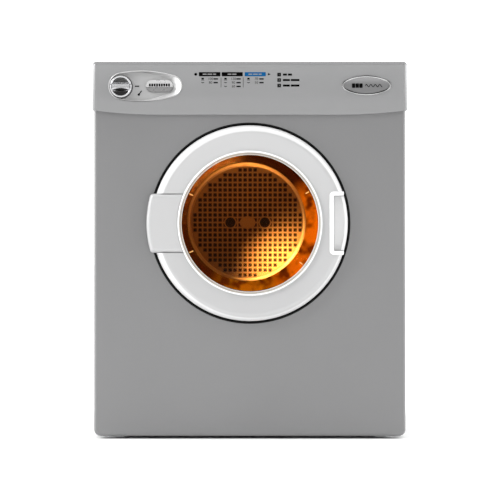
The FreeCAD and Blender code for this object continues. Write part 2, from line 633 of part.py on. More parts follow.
def hinge_parts():
    """Hinge: cover and leaf on the door, a gooseneck bracket on the cabinet, and the pin between them."""
    cover = body("hinge_cover", z="door_z")
    outline = sector(sketch(cover, "XZ", "258"), "cover_radius", "bezel_radius + 0.6", "cover_half")
    block = pad(cover, outline, "ring_crest + 0.6 - 258")
    corner = soften(cover, block, "6", lambda e: along("y")(e) and e.BoundBox.XMax < -180)
    soften(cover, corner, "8", lambda e: e.BoundBox.YMax < -value("ring_crest + 0.59") and e.BoundBox.XMax < -180)
    room = sector(sketch(cover, "XZ", "257"), "cover_radius - 3.2", "bezel_radius + 4", "cover_half - 4")
    pocket(cover, room, "16.5", Reversed=True)
    leaf = body("hinge_leaf", z="door_z")
    pad(leaf, circle(sketch(leaf, "XY", "-27"), "5.5", "-hinge_x", "-hinge_y"), "54")
    strap = rectangle(sketch(leaf, "XY", "-27"), "-hinge_x + 1", "-144", "-hinge_y - 5.4", "-hinge_y - 2.9")
    pad(leaf, strap, "54")
    tie = rectangle(sketch(leaf, "XY", "-47"), "-149.5", "-143.5", "-hinge_y - 5.4", "-248")
    pad(leaf, tie, "94")
    pocket(leaf, circle(sketch(leaf, "XY"), "3.05", "-hinge_x", "-hinge_y"))
    bracket = body("hinge_bracket", z="door_z")
    for low in ("28", "-36"):
        pad(bracket, circle(sketch(bracket, "XY", low), "5.5", "-hinge_x", "-hinge_y"), "8")
        neck = polygon(sketch(bracket, "XY", low), [
            ("-hinge_x + 1", "-hinge_y - 2.6"), ("-156", "-hinge_y - 2.6"), ("-156", "-recess_floor - 0.2"),
            ("-162", "-recess_floor - 0.2"), ("-162", "-hinge_y + 2.6"), ("-hinge_x + 1", "-hinge_y + 2.6")])
        pad(bracket, neck, "8")
    foot = rectangle(sketch(bracket, "XY", "-46"), "-166", "-157.5", "-recess_floor - 2.4", "-recess_floor - 0.2")
    pad(bracket, foot, "92")
    pocket(bracket, circle(sketch(bracket, "XY"), "3", "-hinge_x", "-hinge_y"))
    keep(cylinder("hinge_pin", "2.98", "84", "-hinge_x", "-hinge_y", "door_z - 42"), "hinge_pin")


def latch_parts():
    """Striker tongue on the door and the sprung catch box behind the recess."""
    tongue = box("tongue", "166", "-244.5", "door_z - 8", "4", "21", "16")
    head = cylinder("tongue_head", "4", "16", "168", "-224", "door_z - 8")
    root = box("tongue_root", "160", "-244.5", "door_z - 14", "16", "2", "28")
    keep(fused("door_striker", tongue, head, root), "door_striker")
    case = box("catch_case", "156", "-238.8", "door_z - 20", "30", "34", "40")
    mouth = box("catch_mouth", "161", "-239", "door_z - 11", "16", "26", "22")
    keep(less("latch_catch", case, mouth), "latch_catch")


def door_surround():
    """Black moulding behind the door: recess wall and floor, and the throat that enters the drum."""
    made = body("door_surround", z="door_z")
    turned(made, [("hole_radius - 2", "-253.8"), ("hole_radius - 0.4", "-253.8"), ("hole_radius - 0.4", "-245.6"),
                  ("204", "-245.6"), ("204", "-239"),
                  ("throat_radius + 2.4", "-239"), ("throat_radius + 2.4", "-192"), ("throat_radius", "-192"),
                  ("throat_radius", "-recess_floor"), ("hole_radius - 2", "-recess_floor")])
    notch = rectangle(sketch(made, "XZ", "254"), "-194.5", "-170", "-54", "54")
    pocket(made, notch, "12.4")
    slot = rectangle(sketch(made, "XZ", "243"), "161", "177", "-11", "11")
    pocket(made, slot, "6")


# Drum ---------------------------------------------------------------------------------------------------
def drum_parts():
    """Drum shell, perforated back, three lifters, shaft and the front felt seal."""
    shell = body("drum_shell", z="door_z")
    inner, front, mouth = "drum_radius - drum_wall", "-drum_front", "drum_mouth"
    turned(shell, [(f"{mouth} - 1", "-188"), (f"{mouth} - 1", front), ("drum_radius", front),
                   ("drum_radius", "drum_back"),
                   (inner, "drum_back"), (inner, f"{front} + 1"), (mouth, f"{front} + 1"), (mouth, "-188")])
    back = body("drum_rear_plate", z="door_z")
    seat = "drum_back + 3"
    turned(back, [("0", seat), ("filter_radius - 5", seat), ("filter_radius", "drum_back - 2"),
                  (f"{inner} - 0.1", "drum_back - 2"),
                  (f"{inner} - 0.1", "drum_back - 1"), ("filter_radius + 1", "drum_back - 1"),
                  ("filter_radius - 4", f"{seat} + 1"), ("0", f"{seat} + 1")])
    for radii, hole, count in ((("45", "62", "79", "96"), "4.5", 20), (("165", "185", "205"), "4", 30)):
        row = sketch(back, "XZ", "-drum_back - 8")
        for radius in radii:
            circle(row, hole, "0", radius)
        first = pocket(back, row)
        ring = back.newObject("PartDesign::PolarPattern", "PolarPattern")
        ring.Originals = [first]
        ring.Axis = ([f for f in back.Origin.OriginFeatures if f.Role == "Y_Axis"][0], [""])
        ring.Angle, ring.Occurrences = 360, count
        back.Tip = ring
    for number in range(3):
        lifter = body(f"lifter_{number + 1}", z="door_z")
        section = polygon(sketch(lifter, "XZ", "-drum_back + 3"), [
            ("-34", "drum_radius - 4"), ("34", "drum_radius - 4"), ("12", "drum_radius - 52"),
            ("-12", "drum_radius - 52")])
        wedge = pad(lifter, section, "drum_front + drum_back - 8")
        rounded = soften(lifter, wedge, "9", lambda e: along("y", 100)(e)
                         and e.BoundBox.Center.z < value("drum_radius - 50"))
        doc.recompute()
        root = [f"Face{i}" for i, f in enumerate(rounded.Shape.Faces, start=1)
                if f.BoundBox.ZMin > value("drum_radius - 4.1")]
        shell = lifter.newObject("PartDesign::Thickness", "Thickness")
        shell.Base = (rounded, root)
        hold(shell, Value="2.5")
        turn = FreeCAD.Rotation(FreeCAD.Vector(0, 1, 0), 60 + 120 * number)
        lifter.Placement = FreeCAD.Placement(lifter.Placement.Base, turn)
    hub = body("drum_shaft", z="door_z")
    turned(hub, [("0", "drum_back + 4.2"), ("34", "drum_back + 4.2"), ("34", "drum_back + 6.5"),
                 ("12", "drum_back + 6.5"),
                 ("12", "drum_back + 16"), ("9.95", "drum_back + 16"), ("9.95", "rear_face + 12"),
                 ("0", "rear_face + 12")])
    felt = body("drum_front_seal", z="door_z")
    turned(felt, [("throat_radius + 2.5", "-196"), ("drum_mouth - 1.4", "-196"), ("drum_mouth - 1.4", "-189"),
                  ("throat_radius + 2.5", "-189")])


def lint_filter():
    """Lift-out lint filter: a square lattice in a plain rim, two finger holes, a centre boss and its gauze."""
    front, thick, reach = value("drum_back - 1.2"), 3.4, value("grid_radius")
    pitch, bar = value("grid_pitch"), value("grid_bar")
    along_y = FreeCAD.Vector(0, 1, 0)

    def disc(radius, x=0.0, start=0.0, depth=thick):
        return Part.makeCylinder(radius, depth, FreeCAD.Vector(x, front + start, 0), along_y)
    half, count = (pitch - bar) / 2, int(reach / pitch) + 1

    def square(x, z, reach_out=half):
        points = [FreeCAD.Vector(x + a * reach_out, front, z + b * reach_out)
                  for a, b in ((-1, -1), (1, -1), (1, 1), (-1, 1))]
        return Part.Wire(Part.makePolygon(points + points[:1]))
    cells = [((i + 0.5) * pitch, (j + 0.5) * pitch) for i in range(-count, count) for j in range(-count, count)]
    kept = [(x, z) for x, z in cells if math.hypot(abs(x) + half, abs(z) + half) < reach + 1]
    holes = [square(x, z) for x, z in kept]
    edge = Part.Wire(Part.makeCircle(value("filter_radius - 6"), FreeCAD.Vector(0, front, 0), along_y))
    plate = Part.Face([edge] + holes)
    plate.validate()
    net = plate.extrude(along_y * thick)
    ridge, reaches = 0.6, {}
    for x, z in kept:
        reaches[z] = max(reaches.get(z, 0), x + pitch / 2 + ridge)
    levels = sorted(reaches)
    side = [(reaches[levels[0]], levels[0] - pitch / 2 - ridge)]
    for level, following in zip(levels, levels[1:] + [None]):
        here, after = reaches[level], reaches.get(following, 0)
        if after != here:
            step = level + pitch / 2 + (ridge if after < here else -ridge)
            side += [(here, step), (after, step)]
    side.pop()
    loop = side + [(-x, z) for x, z in reversed(side)]
    points = [FreeCAD.Vector(x, front, z) for x, z in loop]
    border = Part.Wire(Part.makePolygon(points + points[:1]))
    ridges = Part.Face([border] + [square(x, z, pitch / 2 - ridge) for x, z in kept])
    ridges.validate()
    ridges = ridges.extrude(along_y * -0.8)
    oval = Part.Ellipse(FreeCAD.Vector(), 16.5, 13.2).toShape()
    oval.rotate(FreeCAD.Vector(), FreeCAD.Vector(1, 0, 0), 90)
    oval.translate(FreeCAD.Vector(0, front - 1.6, 0))
    boss = Part.Face(Part.Wire(oval)).extrude(along_y * (thick + 1.6))
    eyes = [(side * value("finger_offset"), value("finger_hole")) for side in (-1, 1)]
    collars = [disc(radius + 2.2, x, -1.2, thick + 1.2) for x, radius in eyes]
    lattice = net.fuse([ridges, boss] + collars)
    made = doc.addObject("Part::Feature", "lint_filter_grid")
    made.Shape = lattice.cut([disc(radius, x, -5, 15) for x, radius in eyes]).removeSplitter()
    keep(place(made, z="door_z"), "lint_filter_grid")
    gauze = body("lint_gauze", z="door_z")
    turned(gauze, [("0", "drum_back + 2.3"), ("filter_radius - 7", "drum_back + 2.3"),
                   ("filter_radius - 7", "drum_back + 2.8"), ("0", "drum_back + 2.8")])


# Drive, air path and rear ---------------------------------------------------------------------------------
def motor_parts():
    """Motor with pulley and fan on its shaft, the bracket under it, and the run capacitor."""
    stator = cylinder("stator", "52", "112", "motor_x", "2", "motor_z", "y")
    keep(less("motor_body", stator, cylinder("stator_bore", "shaft_radius + 0.3", "120", "motor_x", "0", "motor_z",
                                             "y")), "motor_body")
    keep(cylinder("motor_shaft", "shaft_radius", "235", "motor_x", "belt_plane - 12", "motor_z", "y"),
         "motor_shaft")
    block = box("cradle", "motor_x - 46", "14", "15.6", "92", "88", "48")
    seat = cylinder("cradle_seat", "52.2", "120", "motor_x", "0", "motor_z", "y")
    under = box("cradle_under", "motor_x - 40", "10", "15", "80", "96", "25")
    keep(less("motor_bracket", block, seat, under), "motor_bracket")
    pulley = body("motor_pulley", "motor_x", z="motor_z")
    pitch = "((drum_radius + belt_gap + belt_thick/2)/drum_to_motor - belt_thick/2 - belt_gap)"
    turned(pulley, [("shaft_radius + 0.02", "belt_plane - 8"), (f"{pitch} + 4", "belt_plane - 8"),
                    (f"{pitch} + 4", "belt_plane - 6"),
                    (pitch, "belt_plane - 5"), (pitch, "belt_plane + 5"), (f"{pitch} + 4", "belt_plane + 6"),
                    (f"{pitch} + 4", "belt_plane + 8"), ("shaft_radius + 0.02", "belt_plane + 8")])
    keep(cylinder("run_capacitor", "20", "78", "-150", "-60", "36.5", "y"), "run_capacitor")


def drive_belt():
    """Flat ribbed belt: arcs round the drum and the motor pulley joined by its two straight spans."""
    gap, thick = value("belt_gap"), value("belt_thick")
    big = value("drum_radius") + gap
    small = (big + thick / 2) / value("drum_to_motor") - thick / 2
    drum = FreeCAD.Vector(0, 0, value("door_z"))
    motor = FreeCAD.Vector(value("motor_x"), 0, value("motor_z"))

    width = value("belt_width")
    across = FreeCAD.Vector(0, width, 0)

    def slab(grow):
        """The solid inside the belt's path, grown outwards."""
        r1, r2 = big + grow, small + grow
        line = motor - drum
        lean, heading = math.acos((r1 - r2) / line.Length), math.atan2(line.z, line.x)
        ends = [[centre + FreeCAD.Vector(math.cos(heading + s * lean), 0, math.sin(heading + s * lean)) * radius
                 for s in (1, -1)] for centre, radius in ((drum, r1), (motor, r2))]
        (a, b), (c, d) = ends
        discs = [Part.makeCylinder(r, width, centre, FreeCAD.Vector(0, 1, 0)) for centre, r in ((drum, r1),
                                                                                                (motor, r2))]
        prism = Part.Face(Part.makePolygon([a, c, d, b, a])).extrude(across)
        return prism.fuse(discs).removeSplitter()
    made = doc.addObject("Part::Feature", "drive_belt")
    made.Shape = slab(thick).cut(slab(0)).removeSplitter()
    made.Placement = FreeCAD.Placement(FreeCAD.Vector(0, value("belt_plane - belt_width/2"), 0), FreeCAD.Rotation())
    keep(made, "drive_belt")


def idler_parts():
    """Sprung jockey arm whose wheel bears on the slack span of the belt from below."""
    wheel_x, wheel_z = idler_centre()
    wheel = keep(doc.addObject("PartDesign::Body", "idler_wheel"), "idler_wheel")
    wheel.Placement = FreeCAD.Placement(FreeCAD.Vector(wheel_x, 0, wheel_z), FreeCAD.Rotation())
    turned(wheel, [("4.05", "belt_plane - 8"), ("idler_radius", "belt_plane - 8"),
                   ("idler_radius", "belt_plane + 8"), ("4.05", "belt_plane + 8")])
    arm = doc.addObject("Part::Feature", "idler_arm")
    back = value("belt_plane") + 8.5
    pivot = FreeCAD.Vector(wheel_x + 62, back, wheel_z - 34)
    hub = FreeCAD.Vector(wheel_x, back, wheel_z)
    along_y = FreeCAD.Vector(0, 1, 0)
    side = (hub - pivot).cross(along_y)
    side = side / side.Length * 8
    strap = Part.Face(Part.makePolygon([hub + side, pivot + side, pivot - side, hub - side,
                                        hub + side])).extrude(along_y * 4)
    bosses = [Part.makeCylinder(8, 4, hub, along_y), Part.makeCylinder(10, 4, pivot, along_y),
              Part.makeCylinder(4, 17, hub - along_y * 17, along_y)]
    arm.Shape = strap.fuse(bosses).cut(Part.makeCylinder(5.05, 10, pivot - along_y * 2, along_y)).removeSplitter()
    keep(arm, "idler_arm")
    post = doc.addObject("Part::Feature", "idler_post")
    pillar = Part.makeBox(20, 8, pivot.z - 15.6 + 8, FreeCAD.Vector(pivot.x - 10, back + 5, 15.6))
    post.Shape = pillar.fuse(Part.makeCylinder(5, 10, pivot - along_y * 3, along_y)).removeSplitter()
    keep(post, "idler_post")


def idler_centre():
    """Where the idler wheel just touches the outside of the belt's lower span, with running clearance."""
    big = value("drum_radius + belt_gap + belt_thick")
    small = (value("drum_radius + belt_gap + belt_thick/2")) / value("drum_to_motor") + value("belt_thick") / 2
    x, z = value("motor_x"), value("motor_z") - value("door_z")
    lean, heading = math.acos((big - small) / math.hypot(x, z)), math.atan2(z, x)
    normal = (math.cos(heading - lean), math.sin(heading - lean))
    out = value("idler_radius") + value("belt_gap")
    start = (normal[0] * big, value("door_z") + normal[1] * big)
    end = (x + normal[0] * small, value("motor_z") + normal[1] * small)
    share = 0.55
    return tuple(s + (e - s) * share + n * out for s, e, n in zip(start, end, normal))


def air_path():
    """Suction duct behind the drum, fan housing with its outlet, impeller, and the outlet spigot."""
    depth, front = 30, value("drum_back + 8")
    across = FreeCAD.Vector(0, 1, 0)
    drum = FreeCAD.Vector(0, front, value("door_z"))
    fan = FreeCAD.Vector(value("motor_x"), front, value("motor_z"))

    def tapered(big, small, start, thick):
        """Two discs and their common tangents, as one slab."""
        line = fan - drum
        lean, heading = math.acos((big - small) / line.Length), math.atan2(line.z, line.x)
        shift = across * start
        corners = [[c + shift + FreeCAD.Vector(math.cos(heading + s * lean), 0, math.sin(heading + s * lean)) * r
                    for s in (1, -1)] for c, r in ((drum, big), (fan, small))]
        (a, b), (c, d) = corners
        slab = Part.Face(Part.makePolygon([a, c, d, b, a])).extrude(across * thick)
        discs = [Part.makeCylinder(big, thick, drum + shift, across),
                 Part.makeCylinder(small, thick, fan + shift, across)]
        return slab.fuse(discs).removeSplitter()
    duct = tapered(122, 62, 0, depth).cut(tapered(120, 60, 2, depth - 4))
    duct = duct.cut([Part.makeCylinder(112, 8, drum - across * 2, across),
                     Part.makeCylinder(42, 8, fan - across * 2, across),
                     Part.makeCylinder(22, 60, drum, across)])
    made = doc.addObject("Part::Feature", "suction_duct")
    made.Shape = duct.removeSplitter()
    keep(made, "suction_duct")
    x, z = "motor_x", "motor_z"
    scroll = cylinder("scroll", "76", "68", x, "132", z, "y")
    chute = box("chute", "outlet_x - 54", "132", "19.5", "motor_x - outlet_x + 54", "68", "102.5")
    spigot_hole = cylinder("chute_hole", "outlet_radius - 2", "20", "outlet_x", "190", "outlet_z", "y")
    scroll_void = cylinder("scroll_void", "74", "64", x, "134", z, "y")
    chute_void = box("chute_void", "outlet_x - 52", "134", "21.5", "motor_x - outlet_x + 52", "64", "98.5")
    eye = cylinder("fan_eye", "42", "20", x, "190", z, "y")
    shaft_hole = cylinder("fan_shaft_hole", "shaft_radius + 1", "20", x, "125", z, "y")
    keep(less("fan_housing", fused("housing_form", scroll, chute), scroll_void, chute_void, spigot_hole, eye,
              shaft_hole), "fan_housing")
    wheel = body("fan_wheel", x, z=z)
    turned(wheel, [("shaft_radius + 0.02", "140"), ("16", "140"), ("16", "143"), ("62", "143"), ("62", "145"),
                         ("16", "145"), ("12", "168"), ("shaft_radius + 0.02", "168")])
    blade = rectangle(sketch(wheel, "XZ", "-144"), "44", "62", "-1", "1")
    first = pad(wheel, blade, "40", Reversed=True)
    ring = wheel.newObject("PartDesign::PolarPattern", "PolarPattern")
    ring.Originals = [first]
    ring.Axis = ([f for f in wheel.Origin.OriginFeatures if f.Role == "Y_Axis"][0], [""])
    ring.Angle, ring.Occurrences = 360, 24
    wheel.Tip = ring
    shroud = circle(circle(sketch(wheel, "XZ", "-184"), "62"), "44")
    pad(wheel, shroud, "2", Reversed=True)
    spigot = body("exhaust_spigot", "outlet_x", z="outlet_z")
    turned(spigot, [("outlet_radius - 2", "200.2"), ("outlet_radius + 5", "200.2"), ("outlet_radius + 5", "202.4"),
                    ("outlet_radius", "202.4"), ("outlet_radius", "cover_rear"),
                    ("outlet_radius - 2", "cover_rear")])


def rear_parts():
    """Shaft bearing, ring heater and its louvred cover, and the mains terminal cover."""
    bearing = body("rear_bearing", z="door_z")
    turned(bearing, [("10", "rear_face - 12"), ("20", "rear_face - 12"), ("20", "rear_face - 3.2"),
                     ("34", "rear_face - 3.2"),
                     ("34", "rear_face - skin - 0.05"), ("25.8", "rear_face - skin - 0.05"),
                     ("25.8", "rear_face + 4"), ("20", "rear_face + 8"), ("10", "rear_face + 8")])
    cover = body("heater_cover", z="door_z")
    turned(cover, [("0", "cover_rear"), ("198", "cover_rear", "5"), ("206", "rear_face + 1.3"),
                   ("222", "rear_face + 1.3"),
                   ("222", "rear_face + 0.1"), ("204.8", "rear_face + 0.1"), ("196.8", "cover_rear - 1.2", "4"),
                   ("0", "cover_rear - 1.2")])
    slot = rectangle(sketch(cover, "XZ", "-cover_rear - 1"), "-3", "3", "70", "130")
    first = pocket(cover, slot, "8", Reversed=True)
    ring = cover.newObject("PartDesign::PolarPattern", "PolarPattern")
    ring.Originals = [first]
    ring.Axis = ([f for f in cover.Origin.OriginFeatures if f.Role == "Y_Axis"][0], [""])
    ring.Angle, ring.Occurrences = 360, 24
    cover.Tip = ring
    element = place(doc.addObject("Part::Torus", "heater_element"), "0", "rear_face + 11", "door_z")
    element.Placement = FreeCAD.Placement(element.Placement.Base, FreeCAD.Rotation(FreeCAD.Vector(1, 0, 0), 90))
    keep(hold(element, Radius1="165", Radius2="4"), "heater_element")
    block = box("terminal_block", "-262", "rear_face + 0.1", "150", "78", "20", "54")
    rounded = doc.addObject("Part::Fillet", "terminal_form")
    rounded.Base = block
    doc.recompute()
    rounded.Edges = [(i, 4, 4) for i, e in enumerate(block.Shape.Edges, start=1)
                     if e.BoundBox.YMin > value("rear_face + 19")]
    gland = cylinder("gland", "8", "14", "-223", "rear_face + 10", "138")
    bore = cylinder("gland_bore", "4.5", "20", "-223", "rear_face + 10", "136")
    keep(less("terminal_cover", fused("terminal_shape", rounded, gland), bore), "terminal_cover")


def fasteners():
    """Pan-head screws of the rear panel, as one group of separate solids."""
    heads = []
    half, low, high = value("cab_width/2 - 9"), 24, value("cab_top") - 26
    spots = [(x, z) for x in (-half, half) for z in (low, (low + high) / 2, high)]
    turns = [math.radians(30 + 60 * k) for k in range(6)]
    spots += [(214 * math.cos(a), value("door_z") + 214 * math.sin(a)) for a in turns]
    for x, z in spots:
        lift = 0.1 if abs(x) > 250 else 1.4
        head = Part.makeCylinder(4, 2.2, FreeCAD.Vector(x, value("rear_face") + lift, z), FreeCAD.Vector(0, 1, 0))
        rim = [e for e in head.Edges if e.BoundBox.YMin > value("rear_face") + lift + 2.1]
        heads.append(head.makeFillet(0.9, rim))
    made = doc.addObject("Part::Feature", "rear_screws")
    made.Shape = Part.makeCompound(heads)
    keep(made, "rear_screws")


def main():
    for build in (front_panel, top_panel, rear_panel, base_pan, feet, control_panel, control_dish, timer_knob,
                  option_button, badge, timer_and_switch, door_ring, handle_frame, door_glazing, door_liner,
                  hinge_parts, latch_parts, door_surround, drum_parts, lint_filter, motor_parts, drive_belt,
                  idler_parts, air_path, rear_parts, fasteners):
        build()
    side_panel("side_panel_left", -1)
    side_panel("side_panel_right", 1)
    doc.recompute()
    os.makedirs("parts", exist_ok=True)
    failed = [f"{o.getParentGeoFeatureGroup().Label if o.getParentGeoFeatureGroup() else ''}.{o.Label}"
              for o in doc.Objects if "Invalid" in o.State or "Error" in o.State]
    failed += [p.Label for p in PARTS if p.Shape.isNull() or not p.Shape.isValid() or not p.Shape.Solids]
    if failed:
        raise SystemExit(f"these objects failed: {sorted(set(failed))}")
    for part in PARTS:
        part.Shape.exportStep(os.path.join("parts", part.Label + ".step"))
    print(len(PARTS), "sub-parts written")


main()
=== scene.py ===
"""Clothes dryer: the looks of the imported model. Metres, +Z up, the front faces -Y."""
import math

import bmesh
import bpy
from mathutils import Matrix, Vector
from mathutils.bvhtree import BVHTree


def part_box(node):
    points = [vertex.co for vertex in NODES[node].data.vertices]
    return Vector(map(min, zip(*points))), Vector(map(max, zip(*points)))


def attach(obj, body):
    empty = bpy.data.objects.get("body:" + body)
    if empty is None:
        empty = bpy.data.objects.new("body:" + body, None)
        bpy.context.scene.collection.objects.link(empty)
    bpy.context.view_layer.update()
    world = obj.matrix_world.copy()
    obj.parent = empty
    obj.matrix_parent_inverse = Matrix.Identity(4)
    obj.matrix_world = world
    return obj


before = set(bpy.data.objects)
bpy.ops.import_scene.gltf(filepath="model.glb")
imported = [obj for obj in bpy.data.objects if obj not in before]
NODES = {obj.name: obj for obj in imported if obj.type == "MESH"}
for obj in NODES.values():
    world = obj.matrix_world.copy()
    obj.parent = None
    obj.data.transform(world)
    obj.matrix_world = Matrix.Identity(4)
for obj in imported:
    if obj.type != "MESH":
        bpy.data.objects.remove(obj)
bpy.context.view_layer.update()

MM = 0.001
FRONT_Y = -0.266


def extent(node):
    """(low, high, middle) of a CAD node."""
    low, high = (Vector(corner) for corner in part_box(node))
    return low, high, (low + high) / 2


PANEL_LOW, PANEL_HIGH, _ = extent("control_panel")
BOWL_LOW, _, DOOR = extent("window_bowl")
KNOB_LOW, _, KNOB = extent("timer_knob")
_, _, BUTTON = extent("option_button")
BADGE_LOW, BADGE_HIGH, BADGE = extent("badge_plate")
POCKET_LOW, _, _ = extent("handle_frame")

FLECK = 2600            # cells per metre of the metallic fleck in paint and plastic
ROLL_HIGHLIGHT_SHIFT = 2.4 * MM   # the painted highlight on the ring's outer edge is this much wider at the upper left
ROLL_HIGHLIGHT_START = 173.5 * MM
POCKET_HALF = 50 * MM   # half the height of the finger pocket behind the handle
SLEEVE_RADIUS = 133 * MM
BAND_FADE = 0.06        # half turns
SLEEVE_PAINTED_LIGHT = (        # bands of painted light and reflection on the liner's inner faces: from and to, in half turns anticlockwise from the right, and the painted colour between
    (-0.38, 0.19, (0.85, 0.92, 0.16)),
    (-0.66, -0.38, (0.60, 0.95, 0.12)),
    (0.56, 0.86, (0.13, 0.22, 0.10)),
)


# Materials ----------------------------------------------------------------------------------
class Look:
    """A Principled material, and the procedural detail that feeds it in object space (metres)."""

    def __init__(self, name, color, rough, metal=0.0, **sockets):
        self.material = bpy.data.materials.new(name)
        self.material.use_nodes = True
        self.tree = self.material.node_tree
        self.shader = self.tree.nodes["Principled BSDF"]
        self.color = color
        self.shader.inputs["Base Color"].default_value = (*color, 1)
        self.shader.inputs["Roughness"].default_value = rough
        self.shader.inputs["Metallic"].default_value = metal
        for socket, number in sockets.items():
            self.shader.inputs[socket.replace("_", " ")].default_value = number
        self.place = self.node("ShaderNodeTexCoord").outputs["Object"]
        self.last_bump = None

    def node(self, kind, **settings):
        """A shader node with its settings."""
        made = self.tree.nodes.new(kind)
        for name, setting in settings.items():
            setattr(made, name, setting)
        return made

    def link(self, source, target):
        self.tree.links.new(source, target)

    def stretched(self, scale=(1, 1, 1), shift=(0, 0, 0)):
        """Object space, scaled and moved."""
        mapping = self.node("ShaderNodeMapping")
        mapping.inputs["Scale"].default_value = scale
        mapping.inputs["Location"].default_value = shift
        self.link(self.place, mapping.inputs["Vector"])
        return mapping.outputs["Vector"]

    def noise(self, scale, detail=3.0, rough=0.55, at=None):
        """Soft noise, scale counted per metre."""
        made = self.node("ShaderNodeTexNoise")
        made.inputs["Scale"].default_value = scale
        made.inputs["Detail"].default_value = detail
        made.inputs["Roughness"].default_value = rough
        self.link(at or self.place, made.inputs["Vector"])
        return made.outputs["Fac"]

    def cells(self, scale, out="Distance"):
        """Cells, scale counted per metre: the distance from each one's middle, or its random colour."""
        made = self.node("ShaderNodeTexVoronoi")
        made.inputs["Scale"].default_value = scale
        self.link(self.place, made.inputs["Vector"])
        return made.outputs[out]

    def speckle(self, scale):
        """A random grey for each cell."""
        grey = self.node("ShaderNodeRGBToBW")
        self.link(self.cells(scale, "Color"), grey.inputs[0])
        return grey.outputs[0]

    def waves(self, scale, at=None, **settings):
        """Even bands or rings."""
        made = self.node("ShaderNodeTexWave", **settings)
        made.inputs["Scale"].default_value = scale
        self.link(at or self.place, made.inputs["Vector"])
        return made.outputs["Fac"]

    def remap(self, source, low, high, start=0.0, stop=1.0, smooth=False):
        """A value moved from start..stop to low..high."""
        made = self.node("ShaderNodeMapRange", interpolation_type="SMOOTHSTEP" if smooth else "LINEAR")
        for name, number in (("From Min", start), ("From Max", stop), ("To Min", low), ("To Max", high)):
            made.inputs[name].default_value = number
        self.link(source, made.inputs["Value"])
        return made.outputs["Result"]

    def axis(self, name, source=None):
        """One axis of object space, or of another vector."""
        split = self.node("ShaderNodeSeparateXYZ")
        self.link(source or self.place, split.inputs[0])
        return split.outputs[name]

    def facing(self, name):
        """One axis of the surface's normal in object space."""
        return self.axis(name, self.node("ShaderNodeTexCoord").outputs["Normal"])

    def offsets(self, middle):
        """Object space x, y and z, counted from a point."""
        return [self.maths("SUBTRACT", self.axis(name), start) for name, start in zip("XYZ", middle)]

    def span(self, a, b):
        """The length of a flat vector."""
        squares = (self.maths("MULTIPLY", side, side) for side in (a, b))
        return self.maths("SQRT", self.maths("ADD", *squares))

    def maths(self, operation, a, b=0.0):
        """One step of arithmetic on numbers or sockets."""
        made = self.node("ShaderNodeMath", operation=operation)
        for slot, source in zip(made.inputs, (a, b)):
            if isinstance(source, (int, float)):
                slot.default_value = source
            else:
                self.link(source, slot)
        return made.outputs[0]

    def tint(self, mask, color):
        """The colour so far blended to another by a mask."""
        mix = self.node("ShaderNodeMix", data_type="RGBA")
        base = self.shader.inputs["Base Color"]
        if base.links:
            self.link(base.links[0].from_socket, mix.inputs["A"])
        else:
            mix.inputs["A"].default_value = base.default_value
        mix.inputs["B"].default_value = (*color, 1)
        self.link(mask, mix.inputs["Factor"])
        self.link(mix.outputs["Result"], base)
        return self

    def shade(self, mask, factor):
        """The colour where the mask is one is this many times the base colour."""
        return self.tint(mask, tuple(min(1.0, c * factor) for c in self.color))

    def roughen(self, source, low, high, start=0.3, stop=0.7):
        """The roughness, moved from low to high by a value."""
        self.link(self.remap(source, low, high, start, stop), self.shader.inputs["Roughness"])
        return self

    def bump(self, source, strength, distance):
        """A height on top of any before it; distance is its full height in metres."""
        made = self.node("ShaderNodeBump")
        made.inputs["Strength"].default_value = strength
        made.inputs["Distance"].default_value = distance
        self.link(source, made.inputs["Height"])
        if self.last_bump:
            self.link(self.last_bump, made.inputs["Normal"])
        self.last_bump = made.outputs["Normal"]
        self.link(self.last_bump, self.shader.inputs["Normal"])
        return self

    def give(self, *nodes):
        """Puts the material on CAD nodes, or on pieces made here."""
        for item in nodes:
            piece = NODES[item] if isinstance(item, str) else item
            piece.data.materials.clear()
            piece.data.materials.append(self.material)
        return self


def painted_steel():
    """Baked silver paint: metallic, with faint orange peel and a fine fleck."""
    look = Look("silver_paint", (0.205, 0.205, 0.207), 0.40, metal=0.5,
                Coat_Weight=0.35, Coat_Roughness=0.16)
    look.shade(look.remap(look.speckle(FLECK), 0, 0.35, 0.4, 1.0), 1.22)
    look.shade(look.remap(look.noise(3.0, 4), 0, 0.5, 0.42, 0.75), 0.94)
    look.roughen(look.noise(14, 4), 0.37, 0.43)
    look.bump(look.noise(620, 2), 0.10, 0.0001)
    return look.give("front_panel", "side_panel_left", "side_panel_right", "top_panel")


